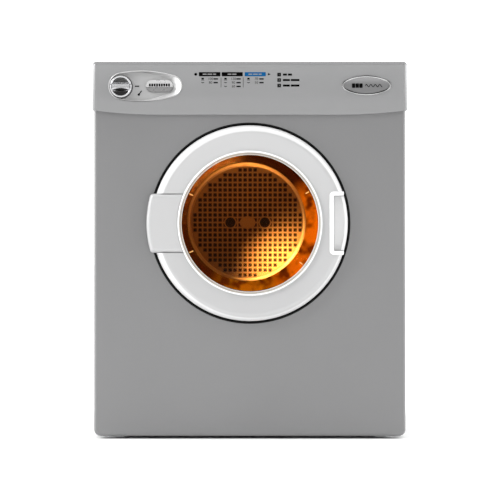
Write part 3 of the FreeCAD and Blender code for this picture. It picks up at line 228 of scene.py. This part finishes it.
def fascia_plastic():
    """Metallic moulded plastic, lighter towards the top by painted light and darkened along its top edge by
    painted shade, and the pale dish with painted shade and painted highlights on its walls.
    """
    look = Look("fascia_plastic", (0.225, 0.226, 0.228), 0.36, metal=0.5,
                Coat_Weight=0.4, Coat_Roughness=0.14)
    # Painted light: the fascia is made lighter towards the top, as if lit from above.
    height = look.remap(look.axis("Z"), 0, 1, PANEL_LOW.z, PANEL_HIGH.z, smooth=True)
    look.shade(height, 1.45)
    look.shade(look.remap(look.cells(FLECK), 0, 0.3, 0.3, 0.8), 1.12)
    # Painted shade along the rounded top edge, dimming the highlight there.
    shoulder_painted_shade = look.remap(look.axis("Z"), 0, 0.8, PANEL_HIGH.z - 8 * MM, PANEL_HIGH.z - 3 * MM)
    look.tint(shoulder_painted_shade, (0.12, 0.12, 0.122))
    look.roughen(look.noise(30, 3), 0.33, 0.40)
    look.bump(look.noise(900, 2), 0.08, 0.0001)
    look.give("control_panel")
    dish = Look("dish_plastic", (0.42, 0.42, 0.42), 0.3, metal=0.4, Coat_Weight=0.5, Coat_Roughness=0.1)
    dish.shade(dish.remap(dish.noise(45, 3), 0, 0.5, 0.4, 0.7), 0.95)
    # Painted shade on the dish's upper wall near the knob, and painted highlights on its right and lower
    # walls, as if lit from the upper left.
    by_knob = dish.remap(dish.axis("X"), 1, 0, KNOB.x + 42 * MM, KNOB.x + 70 * MM, smooth=True)
    upper_wall_painted_shade = dish.maths("MULTIPLY", dish.remap(dish.facing("Z"), 1, 0, -0.5, -0.15), by_knob)
    dish.tint(upper_wall_painted_shade, (0.10, 0.10, 0.10))
    right_wall_painted_highlight = dish.remap(dish.facing("X"), 1, 0, -0.5, -0.2)
    dish.tint(right_wall_painted_highlight, (0.80, 0.80, 0.80))
    lower_wall_painted_highlight = dish.remap(dish.facing("Z"), 0, 1, 0.15, 0.5)
    dish.tint(lower_wall_painted_highlight, (0.75, 0.75, 0.75))
    dish.roughen(dish.noise(60, 3), 0.28, 0.32)
    dish.bump(dish.noise(300, 2), 0.03, 0.00004)
    return dish.give("control_dish")


def control_metals():
    """Turned silver knob with painted shade and reflections, satin silver button and badge rim with painted
    shade, and grey badge plate with painted light at the top.
    """
    knob = Look("knob_silver", (0.58, 0.58, 0.59), 0.26, metal=0.85)
    x, y, z = knob.offsets(KNOB)
    front = KNOB_LOW.y - KNOB.y
    reflection_line_height, dark_reflection_height, dark_reflection_half, dark_reflection_bend = 4.3 * MM, -5.9 * MM, 3.1 * MM, -15.0
    # Painted shade: the knob's face deeper than 5.2 to 6 mm behind its front is darkened.
    sunk_painted_shade = knob.remap(y, 0, 1, front + 5.2 * MM, front + 6.0 * MM)
    knob.tint(sunk_painted_shade, (0.10, 0.10, 0.10))
    # Painted reflection: a dark line across the knob's face, 4.3 mm above its middle.
    from_reflection_line = knob.maths("ABSOLUTE", knob.maths("SUBTRACT", z, reflection_line_height))
    knob.tint(knob.remap(from_reflection_line, 1, 0, 0.4 * MM, 0.9 * MM), (0.07, 0.07, 0.07))
    # Painted reflection: a near-black lens below the grip bar, narrowing towards its ends.
    bend = knob.maths("MULTIPLY", knob.maths("MULTIPLY", x, x), dark_reflection_bend)
    from_dark_reflection = knob.maths("SUBTRACT", knob.maths("ABSOLUTE", knob.maths("SUBTRACT", z, dark_reflection_height)),
                             knob.maths("ADD", bend, dark_reflection_half))
    knob.tint(knob.remap(from_dark_reflection, 1, 0, -0.5 * MM, 0.5 * MM), (0.02, 0.02, 0.02))
    # Painted shade on the deep face near the knob's bottom edge.
    below = knob.maths("MULTIPLY", knob.remap(z, 1, 0, -9.8 * MM, -9.0 * MM), sunk_painted_shade)
    knob.tint(below, (0.035, 0.035, 0.035))
    rings = knob.waves(420, knob.stretched(shift=tuple(-c for c in KNOB)),
                       wave_type="RINGS", rings_direction="Y")
    knob.bump(rings, 0.08, 0.00005)
    knob.roughen(knob.noise(90, 4), 0.18, 0.3)
    knob.give("timer_knob")
    button = Look("button_silver", (0.60, 0.60, 0.60), 0.3, metal=0.5, Coat_Weight=0.4, Coat_Roughness=0.12)
    # Painted shade on the button's lower facet, which faces down, away from the light.
    lower_half_painted_shade = button.remap(button.axis("Z"), 1, 0, BUTTON.z - 2.6 * MM, BUTTON.z - 1.8 * MM)
    button.tint(lower_half_painted_shade, (0.15, 0.15, 0.15))
    button.roughen(button.noise(120, 3), 0.25, 0.35)
    button.bump(button.noise(300, 2), 0.03, 0.00003)
    button.give("option_button")
    rim = Look("badge_rim", (0.80, 0.80, 0.80), 0.2, metal=0.7)
    x, _, z = rim.offsets(BADGE)
    rim_middle = (BADGE_HIGH - BADGE_LOW) / 2 + Vector((1.3 * MM, 0, 1.3 * MM))
    across, up = rim.maths("DIVIDE", x, rim_middle.x), rim.maths("DIVIDE", z, rim_middle.z)
    reach = rim.maths("ADD", rim.maths("MULTIPLY", across, across), rim.maths("MULTIPLY", up, up))
    # Painted shade: the rim is dark on its outer side above and on its inner side below, as a recess lit
    # from above.
    side = rim.maths("MULTIPLY", rim.maths("SUBTRACT", reach, 1.0), z)
    rim.tint(rim.remap(side, 0, 1, -0.3 * MM, 0.3 * MM), (0.012, 0.012, 0.012))
    rim.roughen(rim.noise(200, 4), 0.15, 0.28)
    rim.give("badge_rim")
    plate = Look("nameplate", (0.17, 0.17, 0.172), 0.34, metal=0.35, Coat_Weight=0.25, Coat_Roughness=0.1)
    # Painted light: the plate is lighter towards the top.
    plate.shade(plate.remap(plate.axis("Z"), 0, 1, BADGE.z, BADGE_HIGH.z, smooth=True), 1.7)
    plate.bump(plate.noise(60, 3, at=plate.stretched((1, 20, 90))), 0.05, 0.00004)
    plate.give("badge_plate")


def door_plastics():
    """Pale satin plastic of the door ring, with a painted highlight on its outer edge and painted light in
    its finger pocket, and of the hinge cover; brighter gloss of the handle, and of the bezel with painted
    shade on its inner flank.
    """
    for name, node in (("door_plastic", "door_ring"), ("hinge_plastic", "hinge_cover")):
        ring = Look(name, (0.45, 0.45, 0.452), 0.34, metal=0.15, Coat_Weight=0.4, Coat_Roughness=0.14)
        ring.shade(ring.remap(ring.noise(5, 3), 0, 0.5, 0.4, 0.8), 0.95)
        ring.roughen(ring.noise(40, 3), 0.32, 0.4)
        ring.bump(ring.noise(700, 2), 0.07, 0.0001)
        ring.give(node)
        if node == "door_ring":
            # Painted highlight on the ring's outer edge, measured from a middle moved down and right so
            # that it is wider at the upper left.
            x, z = ring.axis("X"), ring.maths("SUBTRACT", ring.axis("Z"), DOOR.z)
            radius = ring.span(ring.maths("SUBTRACT", x, ROLL_HIGHLIGHT_SHIFT), ring.maths("ADD", z, ROLL_HIGHLIGHT_SHIFT))
            rolled_edge_highlight = ring.remap(radius, 0, 1, ROLL_HIGHLIGHT_START, ROLL_HIGHLIGHT_START + 3 * MM, smooth=True)
            ring.tint(rolled_edge_highlight, (0.66, 0.66, 0.66))
            # Painted light in the finger pocket right of the handle frame's left edge, lifting its shade.
            beyond = ring.remap(x, 0, 1, POCKET_LOW.x + 4 * MM, POCKET_LOW.x + 8 * MM)
            level = ring.remap(ring.maths("ABSOLUTE", z), 1, 0, POCKET_HALF, POCKET_HALF + 4 * MM)
            ring.tint(ring.maths("MULTIPLY", beyond, level), (0.70, 0.70, 0.70))
    bright = Look("door_gloss", (0.80, 0.80, 0.802), 0.22, Coat_Weight=0.5, Coat_Roughness=0.08)
    bright.shade(bright.remap(bright.noise(8, 3), 0, 0.4, 0.4, 0.8), 0.96)
    bright.roughen(bright.noise(50, 3), 0.2, 0.3)
    bright.bump(bright.noise(500, 2), 0.04, 0.0001)
    bright.give("handle_frame")
    bezel = Look("bezel_gloss", (0.80, 0.80, 0.802), 0.22, Coat_Weight=0.5, Coat_Roughness=0.08)
    x, _, z = bezel.offsets(DOOR)
    radius = bezel.span(x, z)
    # Painted shade on the bezel's inner flank, between 129.4 and 133 mm from the door's middle; inside that
    # the lip keeps a pale colour.
    bezel.tint(bezel.remap(radius, 1, 0, 132.6 * MM, 133.4 * MM), (0.42, 0.40, 0.36))
    bezel.tint(bezel.remap(radius, 1, 0, 129.2 * MM, 129.6 * MM), (0.80, 0.78, 0.72))
    bezel.roughen(bezel.noise(50, 3), 0.2, 0.3)
    bezel.bump(bezel.noise(500, 2), 0.04, 0.0001)
    bezel.give("window_bezel")


def amber_glass():
    """Clear amber moulding with slight flow marks."""
    look = Look("amber_window", (0.96, 0.36, 0.07), 0.03, Transmission_Weight=1.0, IOR=1.12)
    look.bump(look.noise(9, 2), 0.15, 0.0006)
    look.roughen(look.noise(25, 3), 0.015, 0.045)
    return look.give("window_bowl")


def dark_mouldings():
    """Black moulded plastics, rubber and felt, and the grey liner, whose inner faces carry painted shade,
    bands of painted amber light and reflection, and dark streaks.
    """
    black = Look("black_moulding", (0.006, 0.006, 0.006), 0.5, Specular_IOR_Level=0.15)
    black.roughen(black.noise(35, 4), 0.34, 0.55)
    black.bump(black.cells(900), 0.12, 0.0001)
    black.give("door_surround")
    parts = Look("dark_plastic", (0.045, 0.045, 0.048), 0.5)
    parts.roughen(parts.noise(40, 4), 0.4, 0.62)
    parts.bump(parts.noise(800, 3), 0.12, 0.0001)
    # The knob skirt is a real black part, and its black ring also stands in for the shadow gap round the
    # knob.
    parts.give("door_striker", "latch_catch", "timer_body", "option_switch", "terminal_cover",
               "suction_duct", "idler_wheel", "motor_pulley", "fan_wheel", "knob_skirt")
    rubber = Look("seal_rubber", (0.03, 0.03, 0.03), 0.72)
    rubber.bump(rubber.noise(500, 4), 0.2, 0.0002)
    rubber.roughen(rubber.noise(60, 3), 0.6, 0.82)
    rubber.give("door_seal", "drive_belt")
    felt = Look("felt", (0.30, 0.28, 0.25), 0.95, Sheen_Weight=0.4)
    felt.shade(felt.remap(felt.noise(300, 5), 0, 0.8, 0.35, 0.7), 0.6)
    felt.bump(felt.noise(900, 5, 0.7), 0.6, 0.0005)
    felt.give("drum_front_seal")
    liner = Look("liner_plastic", (0.36, 0.36, 0.37), 0.45)
    x, _, z = liner.offsets(DOOR)
    radius = liner.span(x, z)
    # Painted shade: the liner's inward faces within 133 mm of the door's middle are made near black.
    within = liner.remap(radius, 1, 0, SLEEVE_RADIUS, SLEEVE_RADIUS + 1 * MM)
    outward = liner.maths("ADD", liner.maths("MULTIPLY", liner.facing("X"), x),
                          liner.maths("MULTIPLY", liner.facing("Z"), z))
    inward = liner.remap(liner.maths("DIVIDE", outward, radius), 1, 0, -0.4, -0.2)
    sleeve = liner.maths("MULTIPLY", within, inward)
    liner.tint(sleeve, (0.012, 0.006, 0.004))
    # Painted glow and reflections: bright amber bands on the right and at the bottom, a dim one at the
    # upper left.
    turn = liner.maths("DIVIDE", liner.maths("ARCTAN2", z, x), math.pi)
    for start, stop, color in SLEEVE_PAINTED_LIGHT:
        rising = liner.remap(turn, 0, 1, start - BAND_FADE, start + BAND_FADE, smooth=True)
        falling = liner.remap(turn, 1, 0, stop - BAND_FADE, stop + BAND_FADE, smooth=True)
        painted_light_band = liner.maths("MULTIPLY", liner.maths("MULTIPLY", rising, falling), sleeve)
        liner.tint(painted_light_band, color)
    streaks = liner.noise(30, 2, at=liner.stretched((1, 0.2, 1)))
    smoke = liner.remap(streaks, 0, 0.9, 0.44, 0.62, smooth=True)
    liner.tint(liner.maths("MULTIPLY", smoke, sleeve), (0.02, 0.008, 0.004))
    liner.roughen(liner.noise(40, 4), 0.3, 0.5)
    liner.bump(liner.cells(1200), 0.1, 0.0001)
    liner.give("door_liner")


def inner_metals():
    """Zinc-coated sheet, bright drum steel, plain steel and cast iron."""
    zinc = Look("zinc_sheet", (0.46, 0.47, 0.48), 0.42, metal=0.85)
    spangle = zinc.speckle(55)
    zinc.shade(zinc.remap(spangle, 0, 0.6, 0.2, 0.9), 0.72)
    zinc.roughen(spangle, 0.34, 0.5, 0.1, 0.9)
    zinc.bump(zinc.noise(300, 3), 0.06, 0.0001)
    zinc.give("rear_panel", "base_pan", "heater_cover", "fan_housing", "motor_bracket", "idler_post",
              "exhaust_spigot")
    drum = Look("drum_steel", (0.60, 0.60, 0.61), 0.36, metal=0.8)
    lines = drum.noise(90, 4, at=drum.stretched((1, 22, 1)))
    drum.shade(drum.remap(lines, 0, 0.7, 0.4, 0.7), 0.82)
    drum.roughen(lines, 0.28, 0.46)
    drum.bump(lines, 0.05, 0.0001)
    drum.give("drum_shell", "drum_rear_plate")
    steel = Look("plain_steel", (0.52, 0.52, 0.53), 0.34, metal=1.0)
    steel.roughen(steel.noise(80, 4), 0.26, 0.46)
    steel.shade(steel.remap(steel.noise(25, 5), 0, 0.5, 0.45, 0.75), 0.8)
    steel.bump(steel.noise(600, 3), 0.05, 0.0001)
    steel.give("hinge_leaf", "hinge_bracket", "hinge_pin", "motor_shaft", "drum_shaft", "rear_screws",
               "timer_shaft", "foot_front_left", "foot_front_right", "foot_rear_left", "foot_rear_right",
               "idler_arm")
    iron = Look("motor_iron", (0.16, 0.165, 0.17), 0.6, metal=0.6)
    iron.bump(iron.waves(300, bands_direction="Y"), 0.2, 0.0002)
    iron.roughen(iron.noise(60, 4), 0.5, 0.72)
    iron.give("motor_body", "rear_bearing")
    can = Look("capacitor_can", (0.62, 0.62, 0.63), 0.3, metal=1.0)
    can.roughen(can.noise(70, 4), 0.22, 0.4)
    can.give("run_capacitor")
    sheath = Look("heater_sheath", (0.20, 0.17, 0.15), 0.6, metal=0.8)
    sheath.tint(sheath.remap(sheath.noise(45, 5), 0, 0.7, 0.4, 0.7), (0.10, 0.09, 0.12))
    sheath.roughen(sheath.noise(90, 4), 0.5, 0.75)
    sheath.give("heater_element")


def drum_plastics():
    """Pale lifters and lint filter, and the filter's gauze."""
    pale = Look("lifter_plastic", (0.55, 0.54, 0.52), 0.45)
    pale.roughen(pale.noise(50, 4), 0.38, 0.52)
    pale.bump(pale.noise(500, 3), 0.08, 0.0001)
    pale.give("lifter_1", "lifter_2", "lifter_3")
    lattice = Look("filter_plastic", (0.23, 0.18, 0.14), 0.42)
    lattice.shade(lattice.remap(lattice.noise(12, 4), 0, 0.6, 0.4, 0.75), 0.86)
    lattice.roughen(lattice.noise(60, 4), 0.36, 0.5)
    lattice.bump(lattice.noise(420, 3), 0.08, 0.0001)
    lattice.give("lint_filter_grid")
    gauze = Look("filter_gauze", (0.006, 0.005, 0.005), 0.9)
    for direction in ("X", "Z"):
        threads = gauze.waves(260, bands_direction=direction)
        gauze.shade(gauze.remap(threads, 0, 0.5, 0.6, 1.0), 2.4)
        gauze.bump(threads, 0.5, 0.0003)
    gauze.give("lint_gauze")


# Printed marks ------------------------------------------------------------------------------
INK_LIFT = 0.12 * MM    # how far ink stands off its surface
INK_STEP = 2.0 * MM     # the cuts that let ink bend with its surface


def placed(name, made):
    """An object made from a bmesh."""
    mesh = bpy.data.meshes.new(name)
    made.to_mesh(mesh)
    made.free()
    piece = bpy.data.objects.new(name, mesh)
    bpy.context.scene.collection.objects.link(piece)
    return piece


def surface_of(*nodes):
    """A ray target made of CAD nodes."""
    points, faces = [], []
    for name in nodes:
        mesh = NODES[name].data
        first = len(points)
        points += [v.co.copy() for v in mesh.vertices]
        faces += [[first + i for i in p.vertices] for p in mesh.polygons]
    return BVHTree.FromPolygons(points, faces)


class Print:
    """Ink laid on a front surface: flat outlines in x, z that follow the surface behind them."""

    def __init__(self, name, body, surface, slot):
        self.name, self.body, self.surface, self.slot = name, body, surface, slot
        self.mesh = bmesh.new()

    def outline(self, points):
        """A filled outline of (x, z) points."""
        face = self.mesh.faces.new([self.mesh.verts.new((x, 0, z)) for x, z in points])
        if face.normal.y > 0:
            face.normal_flip()
        return self

    def bar(self, left, right, low, high, round_by=0.0):
        """A rectangle, with rounded corners if asked."""
        if round_by <= 0:
            return self.outline([(left, low), (right, low), (right, high), (left, high)])
        corners = [(right - round_by, high - round_by, 0), (left + round_by, high - round_by, 90),
                   (left + round_by, low + round_by, 180), (right - round_by, low + round_by, 270)]
        return self.outline([(x + round_by * math.cos(math.radians(start + step)),
                              z + round_by * math.sin(math.radians(start + step)))
                             for x, z, start in corners for step in (0, 30, 60, 90)])

    def dot(self, x, z, radius, sides=24):
        """A round dot."""
        turns = [2 * math.pi * i / sides for i in range(sides)]
        return self.outline([(x + radius * math.cos(a), z + radius * math.sin(a)) for a in turns])

    def stroke(self, points, width):
        """A line through points."""
        for (ax, az), (bx, bz) in zip(points, points[1:]):
            length = math.hypot(bx - ax, bz - az)
            nx, nz = -(bz - az) / length * width / 2, (bx - ax) / length * width / 2
            self.outline([(ax + nx, az + nz), (ax - nx, az - nz), (bx - nx, bz - nz), (bx + nx, bz + nz)])
        return self

    def digits(self, text, x, z, height):
        """Plain numerals centred at a place."""
        curve = bpy.data.curves.new("numeral", "FONT")
        curve.body, curve.size, curve.align_x, curve.align_y = text, height * 1.45, "CENTER", "CENTER"
        holder = bpy.data.objects.new("numeral", curve)
        bpy.context.scene.collection.objects.link(holder)
        bpy.context.view_layer.update()
        flat = bpy.data.meshes.new_from_object(holder)
        flat.transform(Matrix.Translation((x, 0, z)) @ Matrix.Rotation(math.pi / 2, 4, "X"))
        self.mesh.from_mesh(flat)
        bpy.data.objects.remove(holder)
        bpy.data.meshes.remove(flat)
        bpy.data.curves.remove(curve)
        return self

    def finish(self, look, lift=INK_LIFT):
        """Cuts the ink small enough to bend, and lays it on the surface."""
        for axis in (Vector((1, 0, 0)), Vector((0, 0, 1))):
            places = [v.co.dot(axis) for v in self.mesh.verts]
            spot = math.ceil(min(places) / INK_STEP) * INK_STEP
            while spot < max(places):
                geometry = self.mesh.verts[:] + self.mesh.edges[:] + self.mesh.faces[:]
                bmesh.ops.bisect_plane(self.mesh, geom=geometry, plane_co=axis * spot, plane_no=axis)
                spot += INK_STEP
        for v in self.mesh.verts:
            hit = self.surface.ray_cast(Vector((v.co.x, -1, v.co.z)), Vector((0, 1, 0)))[0]
            v.co.y = hit.y - lift if hit else PANEL_LOW.y
        piece = placed(self.name, self.mesh)
        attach(piece, self.body)
        look.give(piece)
        return piece


def ink(name, color):
    """Screen-printed ink, slightly uneven."""
    look = Look(name, color, 0.8, Specular_IOR_Level=0.0)
    look.shade(look.remap(look.noise(900, 3), 0, 0.5, 0.45, 0.8), 0.8)
    look.roughen(look.noise(200, 2), 0.7, 0.9)
    return look


COLUMNS = (             # left and right in mm, the times below the heading, the heading's dashes, its ink
    (-96.0, -55.5, ("100", "80"), (0.18, 0.36, 0.40, 0.62, 0.66, 0.80), "dark"),
    (-53.0, -13.4, ("120", "90", "60"), (0.28, 0.46, 0.50, 0.70), "dark"),
    (-9.8, 29.9, ("70", "50"), (0.18, 0.36, 0.40, 0.62, 0.66, 0.80), "cold"),
)
OPTIONS = (             # the option rows: word length in mm, and the words' starts and ends along it
    (17, (0.0, 0.45, 0.55, 1.0)),
    (31, (0.0, 0.42, 0.48, 1.0)),
    (31, (0.0, 0.42, 0.48, 1.0)),
)


def pairs(numbers):
    """Numbers taken two by two."""
    return zip(numbers[::2], numbers[1::2])


def programme_table(inks, top):
    """Columns of programmes: a heading bar with dashes, then rows of an icon, a time and a word."""
    bar_height, first_row, row_pitch = 7.8 * MM, 12.8 * MM, 7.1 * MM
    icon, time_at, word_from, word_to = 7.2 * MM, 22.0 * MM, 27.6 * MM, 35.8 * MM
    dark, pale = inks["dark"], inks["pale"]
    mid = top - bar_height / 2
    dark.dot(-102.0 * MM, mid - 0.2 * MM, 2.7 * MM)
    dark.outline([(34.0 * MM, mid + 2.4 * MM), (34.0 * MM, mid - 2.4 * MM), (39.0 * MM, mid)])
    for left, right, times, dashes, header in COLUMNS:
        left, right = left * MM, right * MM
        inks[header].bar(left, right, top - bar_height, top, 0.9 * MM)
        span = right - left
        for start, stop in pairs(dashes):
            pale.bar(left + start * span, left + stop * span, mid - 1.0 * MM, mid + 1.0 * MM)
        for row, time in enumerate(times):
            z = top - first_row - row_pitch * row
            x = left + icon
            if row == 0:
                dark.bar(x - 2.3 * MM, x + 2.3 * MM, z - 1.0 * MM, z + 2.1 * MM)
                dark.stroke([(x - 2.8 * MM, z - 2.2 * MM), (x + 2.8 * MM, z - 2.2 * MM)], 0.9 * MM)
            else:
                ripple = [(x + (i - 3) * 0.8 * MM, z + 0.7 * MM * math.sin(i * 1.6)) for i in range(7)]
                dark.stroke(ripple, 1.2 * MM)
            dark.digits(time, left + time_at, z, 4.4 * MM)
            dark.stroke([(left + word_from, z), (left + word_to, z)], 2.6 * MM)
    for x in (-54.3 * MM, -12.5 * MM):
        dark.stroke([(x, top - 10.0 * MM), (x, top - 29.0 * MM)], 0.8 * MM)


def option_list(inks, top):
    """Numbered squares, each with a few words."""
    first_row, row_pitch, words_from = 4.6 * MM, 10.35 * MM, 62.2 * MM
    dark, pale = inks["dark"], inks["pale"]
    for row, (length, words) in enumerate(OPTIONS):
        z = top - first_row - row_pitch * row
        dark.bar(51.7 * MM, 58.5 * MM, z - 3.4 * MM, z + 3.4 * MM, 0.5 * MM)
        pale.digits(str(row + 1), 55.1 * MM, z, 3.2 * MM)
        for start, stop in pairs(words):
            dark.bar(words_from + start * length * MM, words_from + stop * length * MM,
                     z - 1.9 * MM, z + 1.9 * MM)


def printed_marks():
    """Programme columns, option list, dial ticks and the generic marks of the button and nameplate."""
    black, blue = ink("ink_black", (0.002, 0.002, 0.002)), ink("ink_blue", (0.006, 0.075, 0.20))
    white = ink("ink_white", (0.22, 0.22, 0.22))
    fascia = surface_of("control_panel")
    inks = {"dark": Print("fascia_print_dark", "cabinet", fascia, "fascia_plastic"),
            "cold": Print("fascia_print_blue", "cabinet", fascia, "fascia_plastic"),
            "pale": Print("fascia_print_pale", "cabinet", fascia, "fascia_plastic")}
    top = PANEL_HIGH.z - 20.6 * MM
    programme_table(inks, top)
    option_list(inks, top)
    inks["dark"].finish(black)
    inks["cold"].finish(blue)
    inks["pale"].finish(white, INK_LIFT * 2)
    ticks = Print("dial_ticks", "cabinet", surface_of("control_dish"), "dish_plastic")
    dash_z = KNOB.z + 1.2 * MM
    ticks.stroke([(KNOB.x + 26.0 * MM, dash_z), (KNOB.x + 34.0 * MM, dash_z)], 2.2 * MM)
    tail_x, tail_z = KNOB.x + 33.4 * MM, KNOB.z - 14.6 * MM
    ticks.stroke([(tail_x, tail_z), (tail_x + 5.4 * MM, tail_z + 7.4 * MM)], 2.0 * MM)
    ticks.dot(tail_x, tail_z, 2.3 * MM)
    ticks.finish(black)
    label = Print("button_print", "button", surface_of("option_button"), "button_silver")
    for i in range(9):
        x = BUTTON.x + (i - 4) * 4.5 * MM
        label.bar(x - 1.7 * MM, x + 1.7 * MM, BUTTON.z - 1.2 * MM, BUTTON.z + 4.4 * MM)
    label.finish(black)
    mark = Print("nameplate_print", "cabinet", surface_of("badge_plate"), "badge_face")
    for i in range(3):
        x = BADGE.x + (-24.5 + 6.9 * i) * MM
        mark.bar(x - 3.1 * MM, x + 3.1 * MM, BADGE.z - 4.8 * MM, BADGE.z + 3.6 * MM, 1.0 * MM)
    wave = [(BADGE.x + (-2.5 + i) * MM, BADGE.z + (2.4 * math.sin(i * 0.75) - 0.6) * MM)
            for i in range(33)]
    mark.stroke(wave, 1.4 * MM)
    mark.finish(black)


def window_clips():
    """Four small retaining clips on the bowl, just inside the bezel, at degrees from the right."""
    length, depth, thickness, clip_radius = 8.5 * MM, 7.0 * MM, 2.2 * MM, 122.8 * MM
    look = Look("amber_clip", (0.95, 0.48, 0.10), 0.25, Coat_Weight=0.5)
    look.roughen(look.noise(300, 3), 0.2, 0.35)
    for number, degrees in enumerate((28, 154, 206, -38)):
        made = bmesh.new()
        bmesh.ops.create_cube(made, size=1)
        bmesh.ops.scale(made, vec=(length, depth, thickness), verts=made.verts)
        bmesh.ops.bevel(made, geom=made.edges, offset=0.6 * MM, segments=2, affect="EDGES")
        bmesh.ops.translate(made, vec=(clip_radius, 0, 0), verts=made.verts)
        bmesh.ops.rotate(made, matrix=Matrix.Rotation(-math.radians(degrees), 3, "Y"), verts=made.verts)
        bmesh.ops.translate(made, vec=(DOOR.x, BOWL_LOW.y + 6.0 * MM, DOOR.z), verts=made.verts)
        piece = placed(f"window_clip_{number + 1}", made)
        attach(piece, "door")
        look.give(piece)


# Stage --------------------------------------------------------------------------------------
def stage():
    """A wide pale floor, open to the white surroundings on every side."""
    made = bmesh.new()
    bmesh.ops.create_circle(made, cap_ends=True, segments=64, radius=14.0)
    floor = placed("studio_floor", made)
    paper = Look("studio_paper", (0.90, 0.90, 0.90), 0.9)
    paper.give(floor)


def lamp(name, kind, place, target, power, color=(1, 1, 1), **settings):
    """A light at a place, turned to a target."""
    data = bpy.data.lights.new(name, kind)
    data.energy, data.color = power, color
    for setting, number in settings.items():
        setattr(data, setting, number)
    made = bpy.data.objects.new(name, data)
    made.location = place
    made.rotation_euler = (Vector(target) - Vector(place)).to_track_quat("-Z", "Y").to_euler()
    bpy.context.scene.collection.objects.link(made)


def lights():
    """Surroundings dim in front and bright at the sides, a key from the upper left, lamps in the drum."""
    world = bpy.data.worlds.new("studio_white")
    bpy.context.scene.world = world
    world.use_nodes = True
    tree = world.node_tree
    split = tree.nodes.new("ShaderNodeSeparateXYZ")
    tree.links.new(tree.nodes.new("ShaderNodeTexCoord").outputs["Generated"], split.inputs[0])
    across, total = tree.nodes.new("ShaderNodeMath"), tree.nodes.new("ShaderNodeMath")
    across.operation = "ABSOLUTE"
    tree.links.new(split.outputs["X"], across.inputs[0])
    ramps = ((split.outputs["Y"], -0.88, -0.30, 0.55, 1.8), (across.outputs[0], 0.66, 0.92, 0.0, 1.7))
    for slot, (source, start, stop, low, high) in enumerate(ramps):
        ramp = tree.nodes.new("ShaderNodeMapRange")
        ramp.interpolation_type = "SMOOTHSTEP"
        for name, number in (("From Min", start), ("From Max", stop), ("To Min", low), ("To Max", high)):
            ramp.inputs[name].default_value = number
        tree.links.new(source, ramp.inputs["Value"])
        tree.links.new(ramp.outputs["Result"], total.inputs[slot])
    background = tree.nodes["Background"]
    background.inputs["Color"].default_value = (1, 1, 1, 1)
    tree.links.new(total.outputs[0], background.inputs["Strength"])
    lamp("key", "AREA", (-3.4, -2.6, 3.0), (0, 0, 0.5), 70, size=1.2)
    mouth_y, plate_y = -0.17, 0.195
    spot = {"color": (1.0, 0.93, 0.75), "spot_blend": 1.0, "shadow_soft_size": 0.03}
    lamp("drum_glow", "SPOT", (0.03, mouth_y, 0.40), (0.084, plate_y, 0.294), 66, spot_size=0.54, **spot)
    lamp("drum_side", "SPOT", (0.03, mouth_y, 0.42), (0.118, plate_y, 0.350), 8, spot_size=0.5, **spot)
    lamp("drum_fill", "AREA", (0.02, mouth_y, 0.56), (0.0, 0.2, 0.38), 0.42, (1.0, 0.85, 0.65), size=0.12)


def camera():
    """A long lens square on to the front, a little left and above its middle, shifted to frame it."""
    distance, shown, sensor = 4.0, 0.9404, 36.0     # shown: width of the frame at the front face
    stand_x, stand_z, middle_x, middle_z = -0.041, 0.42, 0.0002, 0.3566
    data = bpy.data.cameras.new("camera")
    data.sensor_width = sensor
    data.lens = sensor * distance / shown
    data.shift_x, data.shift_y = (middle_x - stand_x) / shown, (middle_z - stand_z) / shown
    made = bpy.data.objects.new("camera", data)
    made.location = (stand_x, FRONT_Y - distance, stand_z)
    made.rotation_euler = (math.pi / 2, 0, 0)
    bpy.context.scene.collection.objects.link(made)
    bpy.context.scene.camera = made


for make in (painted_steel, fascia_plastic, control_metals, door_plastics, amber_glass, dark_mouldings,
             inner_metals, drum_plastics, printed_marks, window_clips, stage, lights, camera):
    make()
bpy.context.scene.view_settings.view_transform = "Standard"
